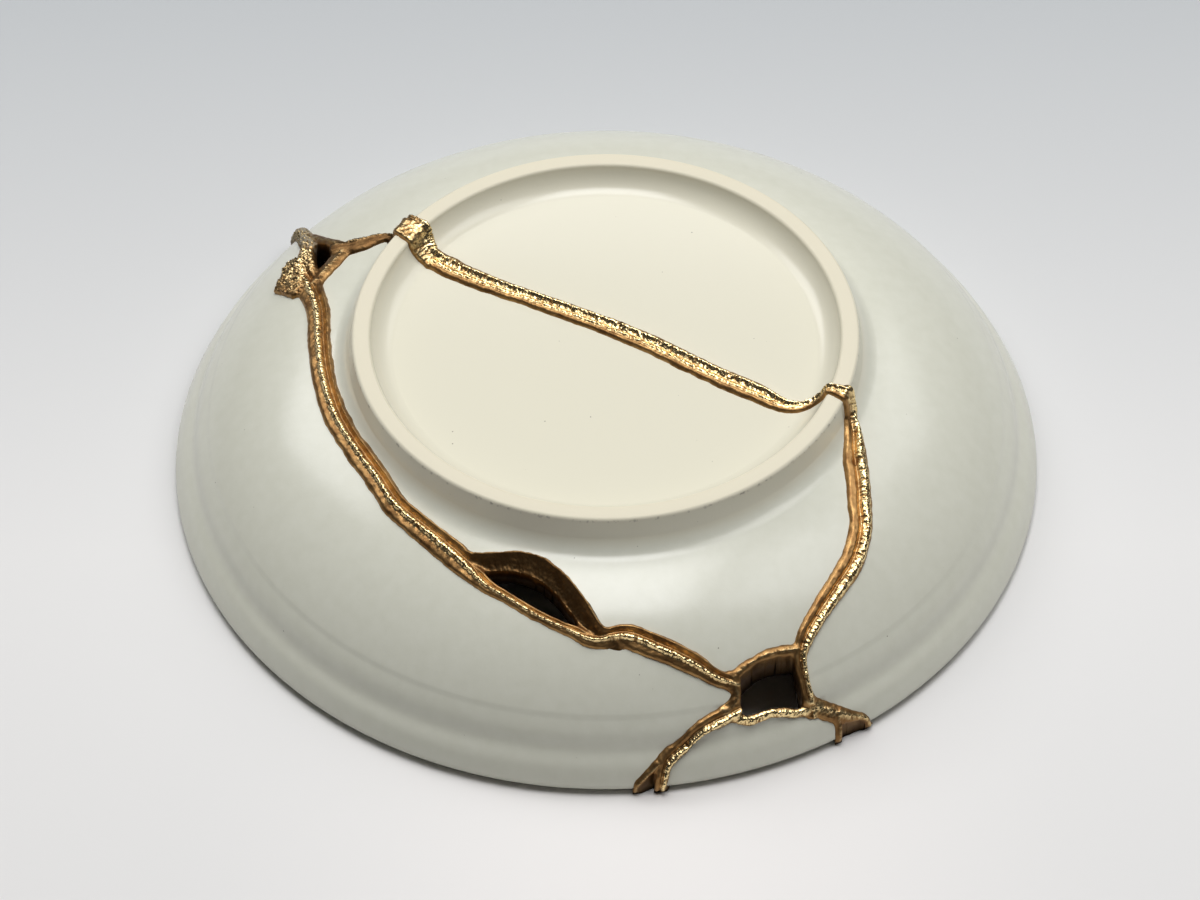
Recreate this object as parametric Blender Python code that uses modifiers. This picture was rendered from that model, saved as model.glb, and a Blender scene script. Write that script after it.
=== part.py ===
"""A mended ceramic plate lying upside down on its rim: four glazed shards held in one network of metal seams.

The plate is a turned form. Its section is two runs of arcs, the top one over the foot and the lower one along
the inside of the bowl. The cracks are routes in plan. The metal follows each route through the wall and stands
proud of both faces, and the same routes, wider by a clearance, part the turned form into its shards.
"""

import math

import bmesh
import bpy
from mathutils import Vector

# Driving dimensions of the plate, in metres
RIM_RADIUS = 0.1000
HEIGHT = 0.0413
WALL = 0.0044
FOOT_RADIUS = 0.0573
FOOT_BAND = 0.0043
FOOT_DROP = 0.0083
FOOT_UPRIGHT = 0.0050
FOOT_FLARE = 0.0047
RECESS_DEPTH = 0.0053
RECESS_COVE = 0.0050
BASE_THICKNESS = 0.0045
FOOT_EDGE = 0.0008
LIP_FLAT = 0.0010

# How the arcs of the section turn, in degrees
WALL_TURN = 54.0
RIM_SLOPE = 65.0
COVE_TURN = 50.0
RECESS_TURN = 60.0
EDGE_TURN = 80.0
LIP_TURN = 90.0

# Driving dimensions of the metal seams, in metres
SEAM_WIDTH = 0.0055
SEAM_CREST = 0.0014
SEAM_SHOULDER = 0.0010
SEAM_EDGE = 0.0002
INSIDE_SHARE = 0.6
OVERHANG_SHARE = 0.7
FIN_CREST = 0.0030
CLEARANCE = 0.0003

# How finely the forms are faceted
TURN_STEPS = 52
EDGE_STEPS = 2
COVE_STEPS = 3
RECESS_STEPS = 4
WALL_STEPS = 7
LIP_STEPS = 3
ROUTE_STEP = 0.0005
METAL_TOLERANCE = 0.0003
CUT_TOLERANCE = 0.00007
SECTION_STEP = 0.0002
MERGE_DISTANCE = 0.00001
SHARP_ANGLE = 32.0

# Colours of the two materials, and how rough they are
GLAZE_COLOUR = (0.76, 0.75, 0.66)
METAL_COLOUR = (0.55, 0.33, 0.13)
ROUGHNESS = 0.35

# Each crack's route in plan: across, away from the viewer and width, the first two in hundredths of the rim's
# radius and the third as a share of the seam's width. It is a free form that was chosen by eye.
ROUTES = {
    "left crack": [
        (-74.6, 67.8, 0.95), (-73.0, 58.0, 1.00), (-71.0, 48.0, 1.00), (-70.5, 39.0, 0.95), (-70.0, 30.0, 1.15),
        (-68.0, 23.0, 1.15), (-66.0, 15.0, 1.05), (-65.0, 3.0, 1.00), (-63.5, -7.5, 1.00), (-60.5, -18.5, 1.05),
        (-57.0, -26.0, 1.00), (-54.0, -31.5, 1.05), (-50.5, -37.5, 1.00), (-46.0, -45.5, 1.00),
        (-38.0, -54.0, 1.08), (-31.5, -60.5, 1.10), (-26.5, -66.0, 0.60), (-20.5, -70.0, 0.46),
        (-15.0, -73.5, 0.46), (-8.5, -76.5, 0.50), (-3.0, -78.5, 0.75), (4.0, -78.0, 1.00), (11.0, -80.0, 1.05),
        (17.5, -82.0, 0.95), (23.0, -84.0, 0.75), (27.0, -84.5, 0.55),
    ],
    "slot upper strand": [
        (-34.0, -58.0, 0.60), (-29.5, -61.2, 0.80), (-24.5, -61.8, 0.68), (-18.5, -62.5, 0.76),
        (-14.0, -64.0, 0.80), (-10.0, -67.0, 0.82), (-6.0, -72.0, 0.80), (-2.5, -77.0, 0.80),
        (2.0, -79.0, 0.75),
    ],
    "branch to foot": [
        (-61.5, 36.5, 1.10), (-57.5, 36.5, 0.95), (-53.5, 37.5, 0.70), (-50.5, 38.0, 0.60), (-47.8, 35.4, 0.95),
        (-44.5, 31.8, 1.50),
    ],
    "branch upper strand": [(-61.0, 37.5, 0.70), (-64.5, 41.5, 0.70), (-67.0, 45.5, 0.75), (-70.0, 50.0, 0.80)],
    "branch lower strand": [(-61.0, 35.5, 0.70), (-65.0, 30.5, 0.60), (-68.5, 25.0, 0.80)],
    "recess crack": [
        (-45.5, 32.8, 1.40), (-43.5, 30.8, 1.55), (-40.5, 28.2, 1.40), (-36.0, 24.8, 1.15), (-33.0, 22.7, 1.05),
        (-24.0, 17.8, 0.95), (-15.2, 13.5, 0.90), (1.0, 5.2, 0.98), (11.5, -1.1, 1.00), (24.0, -9.6, 1.00),
        (34.0, -15.6, 1.00), (40.0, -19.5, 0.70), (45.0, -19.6, 0.55), (49.5, -19.2, 0.60), (54.0, -21.2, 0.90),
    ],
    "right crack": [
        (53.6, -20.4, 0.85), (54.8, -25.8, 0.90), (55.0, -32.5, 1.05), (55.5, -38.5, 1.10), (55.5, -44.0, 1.08),
        (55.5, -50.0, 1.02), (53.5, -57.0, 1.00), (49.5, -63.5, 0.95), (45.5, -69.5, 0.84), (42.5, -74.5, 0.80),
        (41.5, -78.0, 0.58), (42.5, -81.5, 0.50), (44.0, -85.0, 0.58),
    ],
    "hole top": [
        (26.4, -84.4, 0.55), (27.8, -82.9, 0.42), (31.0, -80.5, 0.38), (35.0, -78.5, 0.38), (41.5, -76.5, 0.50),
    ],
    "hole left": [(26.5, -84.0, 0.60), (27.5, -86.5, 0.48), (25.5, -89.0, 0.55)],
    "hole bottom": [
        (25.2, -89.2, 0.60), (30.0, -89.4, 0.44), (35.0, -87.5, 0.42), (40.5, -86.0, 0.44), (45.0, -84.0, 0.62),
    ],
    "front crack": [
        (27.4, -88.4, 0.60), (24.9, -89.6, 0.74), (20.5, -91.5, 0.68), (16.0, -94.0, 0.68), (12.5, -96.5, 0.74),
        (11.0, -99.7, 0.56),
    ],
    "front crack prong": [(13.0, -95.5, 0.45), (9.0, -98.0, 0.36), (5.6, -99.9, 0.30)],
    "right front crack": [
        (43.5, -84.0, 0.74), (48.5, -84.0, 0.80), (52.0, -83.5, 0.62), (55.0, -82.5, 0.38), (57.6, -82.2, 0.32),
    ],
    "right front crack prong": [(49.0, -83.6, 0.50), (50.1, -85.2, 0.42), (50.0, -87.4, 0.32)],
}

# The crumpled fin of metal that stands on the left crack, in the same shares
FIN = [(-69.0, 43.0, 0.30), (-71.0, 37.5, 0.80), (-72.5, 33.0, 1.20), (-72.5, 30.0, 1.50)]

# A spot inside each shard, in hundredths of the rim's radius
SHARDS = {
    "back_shard": (10.0, 75.0),
    "middle_shard": (10.0, -50.0),
    "left_rim_shard": (-60.0, -65.0),
    "front_rim_shard": (33.0, -92.0),
}

# Where a seam's section has its points: a share of the half width, and the rise there
SECTION = [(-1.0, "edge"), (-0.55, "shoulder"), (0.0, "crest"), (0.55, "shoulder"), (1.0, "edge")]


def clear_scene():
    """Remove whatever the scene holds."""
    for held in list(bpy.data.objects):
        bpy.data.objects.remove(held, do_unlink=True)


def arc(start, end, turn, steps):
    """Points from start to end on an arc that bends to the right by turn degrees, both ends included."""
    chord = math.dist(start, end)
    half = math.radians(turn) / 2
    radius = chord / 2 / math.sin(half)
    heading = math.atan2(end[1] - start[1], end[0] - start[0]) + half
    bend = 2 * half / steps
    stride = 2 * radius * math.sin(bend / 2)
    points = [start]
    for step in range(steps):
        towards = heading - bend * (step + 0.5)
        x, y = points[-1]
        points.append((x + stride * math.cos(towards), y + stride * math.sin(towards)))
    return points


def plate_section():
    """The section as (radius, height): the top run from axis to rim, and the lower run back to the axis."""
    lip = WALL / 2
    lip_middle = RIM_RADIUS - lip
    slope = math.radians(RIM_SLOPE)
    recess_floor = HEIGHT - RECESS_DEPTH
    band_inner = FOOT_RADIUS - FOOT_BAND
    root = (FOOT_RADIUS + FOOT_FLARE, HEIGHT - FOOT_DROP)
    tip = (lip_middle + lip * math.sin(slope), lip + lip * math.cos(slope))

    top = [(0.0, recess_floor)]
    edge_height = HEIGHT - FOOT_EDGE
    top += arc((band_inner - RECESS_COVE, recess_floor), (band_inner, edge_height), -RECESS_TURN, RECESS_STEPS)
    top += arc((band_inner, edge_height), (band_inner + FOOT_EDGE, HEIGHT), EDGE_TURN, EDGE_STEPS)[1:]
    top += arc((FOOT_RADIUS - FOOT_EDGE, HEIGHT), (FOOT_RADIUS, edge_height), EDGE_TURN, EDGE_STEPS)
    top += arc((FOOT_RADIUS + FOOT_EDGE, HEIGHT - FOOT_UPRIGHT), root, -COVE_TURN, COVE_STEPS)
    wall = arc(root, tip, WALL_TURN, WALL_STEPS)
    top += wall[1:]
    top += arc(tip, (RIM_RADIUS, lip), LIP_TURN - RIM_SLOPE, EDGE_STEPS)[1:]

    # The inside keeps the wall's thickness square to the outside, then levels out into the floor of the bowl
    inside = []
    for before, here, after in zip(wall, wall[1:], wall[2:] + [(RIM_RADIUS, lip)]):
        run = Vector((after[0] - before[0], after[1] - before[1])).normalized()
        inside.append((here[0] + run.y * WALL, here[1] - run.x * WALL))
    inside = inside[:-1]
    bowl_floor = recess_floor - BASE_THICKNESS
    steepness = math.atan2(inside[0][1] - inside[1][1], inside[1][0] - inside[0][0])
    level = 2 * (bowl_floor - inside[0][1]) / math.tan(steepness)
    levelling = arc((inside[0][0] - level, bowl_floor), inside[0], math.degrees(steepness), COVE_STEPS)

    inner_tip = (tip[0] - WALL * math.sin(slope), tip[1] - WALL * math.cos(slope))
    lower = arc((RIM_RADIUS, lip), (lip_middle + LIP_FLAT / 2, 0.0), LIP_TURN, LIP_STEPS)
    lower += arc((lip_middle - LIP_FLAT / 2, 0.0), inner_tip, LIP_TURN, EDGE_STEPS)
    lower += reversed(inside)
    lower += list(reversed(levelling))[1:]
    lower.append((0.0, bowl_floor))
    return top, lower


def dense(profile):
    """The profile's points and others between them, no further apart than the section's step."""
    points = [profile[0]]
    for start, end in zip(profile, profile[1:]):
        pieces = max(1, math.ceil(math.dist(start, end) / SECTION_STEP))
        for piece in range(1, pieces + 1):
            share = piece / pieces
            points.append((start[0] + (end[0] - start[0]) * share, start[1] + (end[1] - start[1]) * share))
    return points


class Surface:
    """One face of the plate, grown outwards by a rise: the height that a rolling ball of that size reaches."""

    def __init__(self, profile, side):
        self.side = side
        self.points = sorted(dense(profile))

    def height(self, radius, rise):
        reach = min(radius, RIM_RADIUS + OVERHANG_SHARE * rise)
        best = None
        for point_radius, point_height in self.points:
            if abs(point_radius - reach) <= rise:
                z = point_height + self.side * math.sqrt(rise**2 - (point_radius - reach) ** 2)
                best = z if best is None else max(best * self.side, z * self.side) * self.side
        return best


def smooth_route(points):
    """A smooth curve through a route's points, in metres: (x, y, width) at most a route's step apart."""
    scale = RIM_RADIUS / 100
    knots = [Vector((x * scale, y * scale, width * SEAM_WIDTH)) for x, y, width in points]
    knots = [2 * knots[0] - knots[1]] + knots + [2 * knots[-1] - knots[-2]]
    curve = []
    for a, b, c, d in zip(knots, knots[1:], knots[2:], knots[3:]):
        pieces = max(2, math.ceil((c - b).length / ROUTE_STEP))
        for piece in range(pieces):
            t = piece / pieces
            bend = a * (-t + 2 * t**2 - t**3) + b * (2 - 5 * t**2 + 3 * t**3)
            curve.append((bend + c * (t + 4 * t**2 - 3 * t**3) + d * (-(t**2) + t**3)) / 2)
    curve.append(knots[-2])
    return curve


def across(curve, index):
    """The level direction square to the curve at one of its points, to its left."""
    ahead = curve[min(index + 1, len(curve) - 1)]
    behind = curve[max(index - 1, 0)]
    run = Vector((ahead.x - behind.x, ahead.y - behind.y, 0.0)).normalized()
    return Vector((-run.y, run.x, 0.0))


def needed(lines, tolerance):
    """The indexes of the points that keep every line within the tolerance, ends included."""

    def split(first, last):
        worst, where = 0.0, None
        for line in lines:
            start, run = line[first], line[last] - line[first]
            for index in range(first + 1, last):
                along = (line[index] - start).dot(run) / run.length_squared
                away = (line[index] - start - run * along).length
                if away > worst:
                    worst, where = away, index
        if worst <= tolerance:
            return [last]
        return split(first, where) + split(where, last)

    return [0] + split(0, len(lines[0]) - 1)


def metal_ring(curve, index, faces, crest):
    """The points of the metal's section at one point of its route: across the top face, and back below."""
    place, side = curve[index], across(curve, index)
    rises = {"edge": SEAM_EDGE, "shoulder": SEAM_SHOULDER + (crest - SEAM_CREST) / 2, "crest": crest}
    top, lower = faces
    above, below = [], []
    for share, kind in SECTION:
        spot = Vector((place.x, place.y, 0.0)) + side * (share * place.z / 2)
        radius = spot.length
        inner_rise = INSIDE_SHARE * min(rises[kind], SEAM_CREST)
        above.append(Vector((spot.x, spot.y, top.height(radius, rises[kind]))))
        below.append(Vector((spot.x, spot.y, max(0.0, lower.height(radius, inner_rise)))))
    return above + below[::-1]


def loft(name, rings, collection):
    """A closed object whose skin joins the rings in order, with a flat cap on each end."""
    mesh = bmesh.new()
    laid = [[mesh.verts.new(point) for point in ring] for ring in rings]
    for here, ahead in zip(laid, laid[1:]):
        for index, corner in enumerate(here):
            following = (index + 1) % len(here)
            mesh.faces.new((corner, here[following], ahead[following], ahead[index]))
    mesh.faces.new(laid[0][::-1])
    mesh.faces.new(laid[-1])
    bmesh.ops.triangulate(mesh, faces=[face for face in mesh.faces if len(face.verts) > 4])
    bmesh.ops.recalc_face_normals(mesh, faces=mesh.faces)
    data = bpy.data.meshes.new(name)
    mesh.to_mesh(data)
    mesh.free()
    made = bpy.data.objects.new(name, data)
    collection.objects.link(made)
    return made


def metal_run(name, points, faces, crest, collection):
    """One length of seam: the metal's section carried along a route."""
    curve = smooth_route(points)
    rings = [metal_ring(curve, index, faces, crest) for index in range(len(curve))]
    lines = [[ring[place] for ring in rings] for place in range(len(SECTION))]
    return loft(name, [rings[index] for index in needed(lines, METAL_TOLERANCE)], collection)


def crack_cutter(name, points, collection):
    """The upright wall that parts the shards on a route, wider than the metal by the clearance on each side."""
    curve = smooth_route(points)
    low, high = -WALL, HEIGHT + WALL
    start, end = curve[0] - curve[1], curve[-1] - curve[-2]
    curve[0] = curve[0] + Vector((start.x, start.y, 0.0)).normalized() * CLEARANCE
    curve[-1] = curve[-1] + Vector((end.x, end.y, 0.0)).normalized() * CLEARANCE
    rings = []
    for index, place in enumerate(curve):
        middle = Vector((place.x, place.y, 0.0))
        reach = across(curve, index) * (place.z / 2 + CLEARANCE)
        left, right = middle + reach, middle - reach
        corners = ((right, high), (left, high), (left, low), (right, low))
        rings.append([Vector((spot.x, spot.y, z)) for spot, z in corners])
    lines = [[ring[place] for ring in rings] for place in (0, 1)]
    made = loft(name, [rings[index] for index in needed(lines, CUT_TOLERANCE)], collection)
    made.hide_render = True
    made.display_type = "WIRE"
    return made


def combined(base, others, operation, solver):
    """The base's mesh after a Boolean with each of the others in turn."""
    for other in others:
        step = base.modifiers.new(other.name, "BOOLEAN")
        step.operation = operation
        step.solver = solver
        step.object = other
    graph = bpy.context.evaluated_depsgraph_get()
    return bpy.data.meshes.new_from_object(base.evaluated_get(graph))


def turned_plate(profile, collection):
    """The whole plate before it broke, turned about the upright axis."""
    data = bpy.data.meshes.new("turned plate")
    edges = [(index, index + 1) for index in range(len(profile) - 1)]
    data.from_pydata([(radius, 0.0, height) for radius, height in profile], edges, [])
    plate = bpy.data.objects.new("turned plate", data)
    collection.objects.link(plate)
    turn = plate.modifiers.new("turn", "SCREW")
    turn.axis = "Z"
    turn.steps = TURN_STEPS
    turn.render_steps = TURN_STEPS
    turn.use_merge_vertices = True
    turn.merge_threshold = MERGE_DISTANCE
    return plate


def island_of(mesh, spot):
    """The faces joined to the vertex that lies nearest to a spot in plan."""
    nearest = min(mesh.verts, key=lambda vert: math.dist(vert.co[:2], spot))
    held, waiting = {nearest}, [nearest]
    while waiting:
        for edge in waiting.pop().link_edges:
            for vert in edge.verts:
                if vert not in held:
                    held.add(vert)
                    waiting.append(vert)
    return held


def take_shard(name, broken, spot, collection):
    """A new object that holds only the piece of the broken plate round a spot."""
    mesh = bmesh.new()
    mesh.from_mesh(broken)
    kept = island_of(mesh, spot)
    bmesh.ops.delete(mesh, geom=[vert for vert in mesh.verts if vert not in kept], context="VERTS")
    data = bpy.data.meshes.new(name)
    mesh.to_mesh(data)
    mesh.free()
    shard = bpy.data.objects.new(name, data)
    collection.objects.link(shard)
    return shard


def principled(name, colour, metallic, roughness):
    """A material with one Principled shader."""
    material = bpy.data.materials.new(name)
    material.use_nodes = True
    shader = material.node_tree.nodes["Principled BSDF"]
    shader.inputs["Base Color"].default_value = (*colour, 1.0)
    shader.inputs["Metallic"].default_value = metallic
    shader.inputs["Roughness"].default_value = roughness
    return material


def finish(made, material):
    """Give an object its material and round shading with crisp edges."""
    made.data.materials.clear()
    made.data.materials.append(material)
    made.data.shade_smooth()
    made.data.set_sharp_from_angle(angle=math.radians(SHARP_ANGLE))


def main():
    clear_scene()
    plate_parts = bpy.data.collections.new("kintsugi plate")
    cutters = bpy.data.collections.new("cutters")
    for collection in (plate_parts, cutters):
        bpy.context.scene.collection.children.link(collection)

    top, lower = plate_section()
    faces = (Surface(top, 1), Surface(lower, -1))

    cuts = [crack_cutter(name + " cut", points, cutters) for name, points in ROUTES.items()]
    cuts.append(crack_cutter("fin cut", FIN, cutters))
    plate = turned_plate(top + lower[1:], plate_parts)
    broken = combined(plate, cuts, "DIFFERENCE", "MANIFOLD")
    glaze = principled("pale glaze", GLAZE_COLOUR, 0.0, ROUGHNESS)
    for name, spot in SHARDS.items():
        in_metres = [share * RIM_RADIUS / 100 for share in spot]
        finish(take_shard(name, broken, in_metres, plate_parts), glaze)
    bpy.data.objects.remove(plate)

    runs = [metal_run(name, points, faces, SEAM_CREST, plate_parts) for name, points in ROUTES.items()]
    runs.append(metal_run("fin", FIN, faces, FIN_CREST, plate_parts))
    seam_data = combined(runs[0], runs[1:], "UNION", "EXACT")
    for run in runs:
        bpy.data.objects.remove(run)
    seam = bpy.data.objects.new("metal_seam", seam_data)
    plate_parts.objects.link(seam)
    finish(seam, principled("bronze gold", METAL_COLOUR, 1.0, ROUGHNESS))


main()
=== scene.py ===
"""The looks of a mended plate: glazed shards cut from one turned form, and the metal seam between them."""

import logging
import math
from dataclasses import dataclass, field
from enum import Enum
from typing import Any

import bmesh
import bpy
import numpy as np
from mathutils import Matrix, Vector


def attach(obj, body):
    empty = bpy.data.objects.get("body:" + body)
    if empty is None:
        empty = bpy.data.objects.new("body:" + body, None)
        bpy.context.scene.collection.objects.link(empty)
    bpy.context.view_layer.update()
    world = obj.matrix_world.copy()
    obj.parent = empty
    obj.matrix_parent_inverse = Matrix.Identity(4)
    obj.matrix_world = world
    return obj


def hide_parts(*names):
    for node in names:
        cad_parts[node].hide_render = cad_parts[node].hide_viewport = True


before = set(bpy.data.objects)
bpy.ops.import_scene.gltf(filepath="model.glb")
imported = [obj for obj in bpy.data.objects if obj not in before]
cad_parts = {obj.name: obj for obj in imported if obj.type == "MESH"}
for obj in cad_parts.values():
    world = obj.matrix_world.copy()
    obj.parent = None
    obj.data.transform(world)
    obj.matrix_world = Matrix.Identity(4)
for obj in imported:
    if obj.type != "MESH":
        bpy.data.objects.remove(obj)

LOG = logging.getLogger("plate")
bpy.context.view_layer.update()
MM = 0.001
# The least share of a grid cell that a contour leaves at a corner
SLIVER = 0.06


def linear(colour: str) -> tuple[float, float, float, float]:
    """Turn an sRGB hex colour into linear light.

    Args:
        colour: The colour, such as "#C0A080".

    Returns:
        Red, green, blue and an alpha of one.
    """
    shares = [int(colour[place : place + 2], 16) / 255 for place in (1, 3, 5)]
    light = [share / 12.92 if share <= 0.04045 else ((share + 0.055) / 1.055) ** 2.4 for share in shares]
    return (light[0], light[1], light[2], 1.0)


def add_node(
    tree: bpy.types.NodeTree, kind: str, inputs: dict | None = None, **settings: Any
) -> bpy.types.Node:
    """Add a node with its settings, values and links.

    Args:
        tree: The tree that the node goes in.
        kind: The node's type.
        inputs: What each input socket gets: a value, another node's output socket to link, or a node whose
            first output it links.
        settings: The node's own settings.

    Returns:
        The new node.
    """
    node = tree.nodes.new(kind)
    for name, value in settings.items():
        setattr(node, name, value)
    for key, value in (inputs or {}).items():
        if isinstance(value, bpy.types.Node):
            tree.links.new(value.outputs[0], node.inputs[key])
        elif isinstance(value, bpy.types.NodeSocket):
            tree.links.new(value, node.inputs[key])
        else:
            node.inputs[key].default_value = value
    return node


def arc(start: tuple, end: tuple, turn: float, steps: int) -> list[tuple[float, float]]:
    """Lay points on an arc that bends to the right, or to the left where the turn is below zero.

    Args:
        start: Where the arc starts.
        end: Where it ends.
        turn: How far it bends, in degrees.
        steps: How many chords it has.

    Returns:
        The points, both ends included.
    """
    chord = math.dist(start, end)
    half = math.radians(turn) / 2
    radius = chord / 2 / math.sin(half)
    heading = math.atan2(end[1] - start[1], end[0] - start[0]) + half
    bend = 2 * half / steps
    stride = 2 * radius * math.sin(bend / 2)
    points = [start]
    for step in range(steps):
        towards = heading - bend * (step + 0.5)
        x, y = points[-1]
        points.append((x + stride * math.cos(towards), y + stride * math.sin(towards)))
    return points


@dataclass(frozen=True)
class PlateForm:
    """The plate's section, in metres and degrees, as its solids have it."""

    rim_radius: float = 0.1000
    height: float = 0.0413
    wall: float = 0.0044
    foot_radius: float = 0.0573
    foot_band: float = 0.0043
    foot_drop: float = 0.0083
    foot_upright: float = 0.0050
    foot_flare: float = 0.0047
    recess_depth: float = 0.0053
    recess_cove: float = 0.0050
    base_thickness: float = 0.0045
    foot_edge: float = 0.0008
    lip_flat: float = 0.0010
    lip_tuck: float = 0.0013
    wall_turn: float = 54.0
    rim_slope: float = 65.0
    cove_turn: float = 50.0
    recess_turn: float = 60.0
    edge_turn: float = 80.0
    lip_turn: float = 90.0
    tuck_turn: float = 65.0
    heel_turn: float = 30.0
    hollow_depth: float = 0.0007
    hollow_reach: float = 0.0076
    hollow_size: float = 0.0026
    ridge_depth: float = 0.00014
    ridge_reach: float = 0.0157
    ridge_width: float = 0.0007
    small_steps: int = 6
    cove_steps: int = 12
    wall_steps: int = 80

    @property
    def lip(self) -> float:
        """Half the wall, which is the lip's own radius."""
        return self.wall / 2

    @property
    def sole(self) -> float:
        """The radius at which the lip's underside meets the table."""
        return self.rim_radius - self.lip - self.lip_tuck + self.lip_flat / 2

    def outer_wall(self) -> list[tuple[float, float]]:
        """The outside of the wall, from the foot's root to the lip.

        Returns:
            Its points as (radius, height).
        """
        slope = math.radians(self.rim_slope)
        root = (self.foot_radius + self.foot_flare, self.height - self.foot_drop)
        tip = (
            self.rim_radius - self.lip + self.lip * math.sin(slope),
            self.lip + self.lip * math.cos(slope),
        )
        wall = arc(root, tip, self.wall_turn, self.wall_steps)
        reach, thrown = 0.0, [wall[-1]]
        for ahead, here in zip(wall[::-1], wall[-2::-1]):
            stride = math.dist(ahead, here)
            reach += stride
            dip = self.thrown_dip(reach)
            thrown.append((
                here[0] + (ahead[1] - here[1]) / stride * dip,
                here[1] - (ahead[0] - here[0]) / stride * dip,
            ))
        return thrown[::-1]

    def thrown_dip(self, reach: float) -> float:
        """How far the wall dips below its arc: a hollow above the flared lip, then a faint ridge.

        Args:
            reach: How far along the wall the place is from the lip.

        Returns:
            The depth of the dip.
        """
        hollow = self.hollow_depth * math.exp(-(((reach - self.hollow_reach) / self.hollow_size) ** 2))
        below = min(max((self.ridge_reach - reach) / self.ridge_width, 0.0), 1.0)
        fading = min(reach / self.ridge_reach, 1.0)
        return hollow + self.ridge_depth * below * fading

    def top_run(self) -> list[tuple[float, float]]:
        """The upper face's section, from the axis to the lip's outermost point.

        Returns:
            Its points as (radius, height).
        """
        floor = self.height - self.recess_depth
        inner = self.foot_radius - self.foot_band
        edge = self.height - self.foot_edge
        wall = self.outer_wall()
        run = [(0.0, floor)]
        run += arc((inner - self.recess_cove, floor), (inner, edge), -self.recess_turn, self.cove_steps)
        run += arc((inner, edge), (inner + self.foot_edge, self.height), self.edge_turn, self.small_steps)[1:]
        run += arc(
            (self.foot_radius - self.foot_edge, self.height),
            (self.foot_radius, edge),
            self.edge_turn,
            self.small_steps,
        )
        side = (self.foot_radius + self.foot_edge, self.height - self.foot_upright)
        run += arc(side, wall[0], -self.cove_turn, self.cove_steps)
        run += wall[1:]
        lip_top = self.lip_turn - self.rim_slope
        run += arc(wall[-1], (self.rim_radius, self.lip), lip_top, self.small_steps)[1:]
        return run

    def lower_run(self) -> list[tuple[float, float]]:
        """The lower face's section, from the lip's outermost point back to the axis.

        Returns:
            Its points as (radius, height).
        """
        wall = self.outer_wall()
        slope = math.radians(self.rim_slope)
        inside = []
        for before, here, after in zip(wall, wall[1:], wall[2:]):
            run = Vector((after[0] - before[0], after[1] - before[1])).normalized()
            inside.append((here[0] + run.y * self.wall, here[1] - run.x * self.wall))
        floor = self.height - self.recess_depth - self.base_thickness
        steepness = math.atan2(inside[0][1] - inside[1][1], inside[1][0] - inside[0][0])
        level = 2 * (floor - inside[0][1]) / math.tan(steepness)
        start = (inside[0][0] - level, floor)
        levelling = arc(start, inside[0], math.degrees(steepness), self.cove_steps)
        tip = wall[-1]
        inner_tip = (tip[0] - self.wall * math.sin(slope), tip[1] - self.wall * math.cos(slope))
        run = arc((self.rim_radius, self.lip), (self.sole, 0.0), self.tuck_turn, self.small_steps)
        run += arc((self.sole - self.lip_flat, 0.0), inner_tip, self.heel_turn, self.small_steps)
        run += inside[::-1]
        run += levelling[::-1][1:]
        run.append((0.0, floor))
        return run


class SeamStyle(Enum):
    """How a stretch of seam looks across its width."""

    MIDDLE_CREST = "smooth flange, narrow crest, then a groove and a raised edge"
    SIDE_CREST = "broad smooth flange, groove in the middle and a wide crest beside it"
    TWIN_CREST = "two broken crests with a rough furrow between them"
    STRAND = "thin rounded strand"
    RAGGED = "thin strand that is crumpled all over"
    WORN = "rounded band with a low crest in its middle"
    BRANCH = "rounded strand under a dark overhang"
    HOOD = "raised edge over a slope that dips into the gap"
    BLOB = "finely wrinkled pool with a crumpled ridge along one side"
    FIN = "crumpled fin"
    CRUMB = "ashen crumbs"


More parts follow.
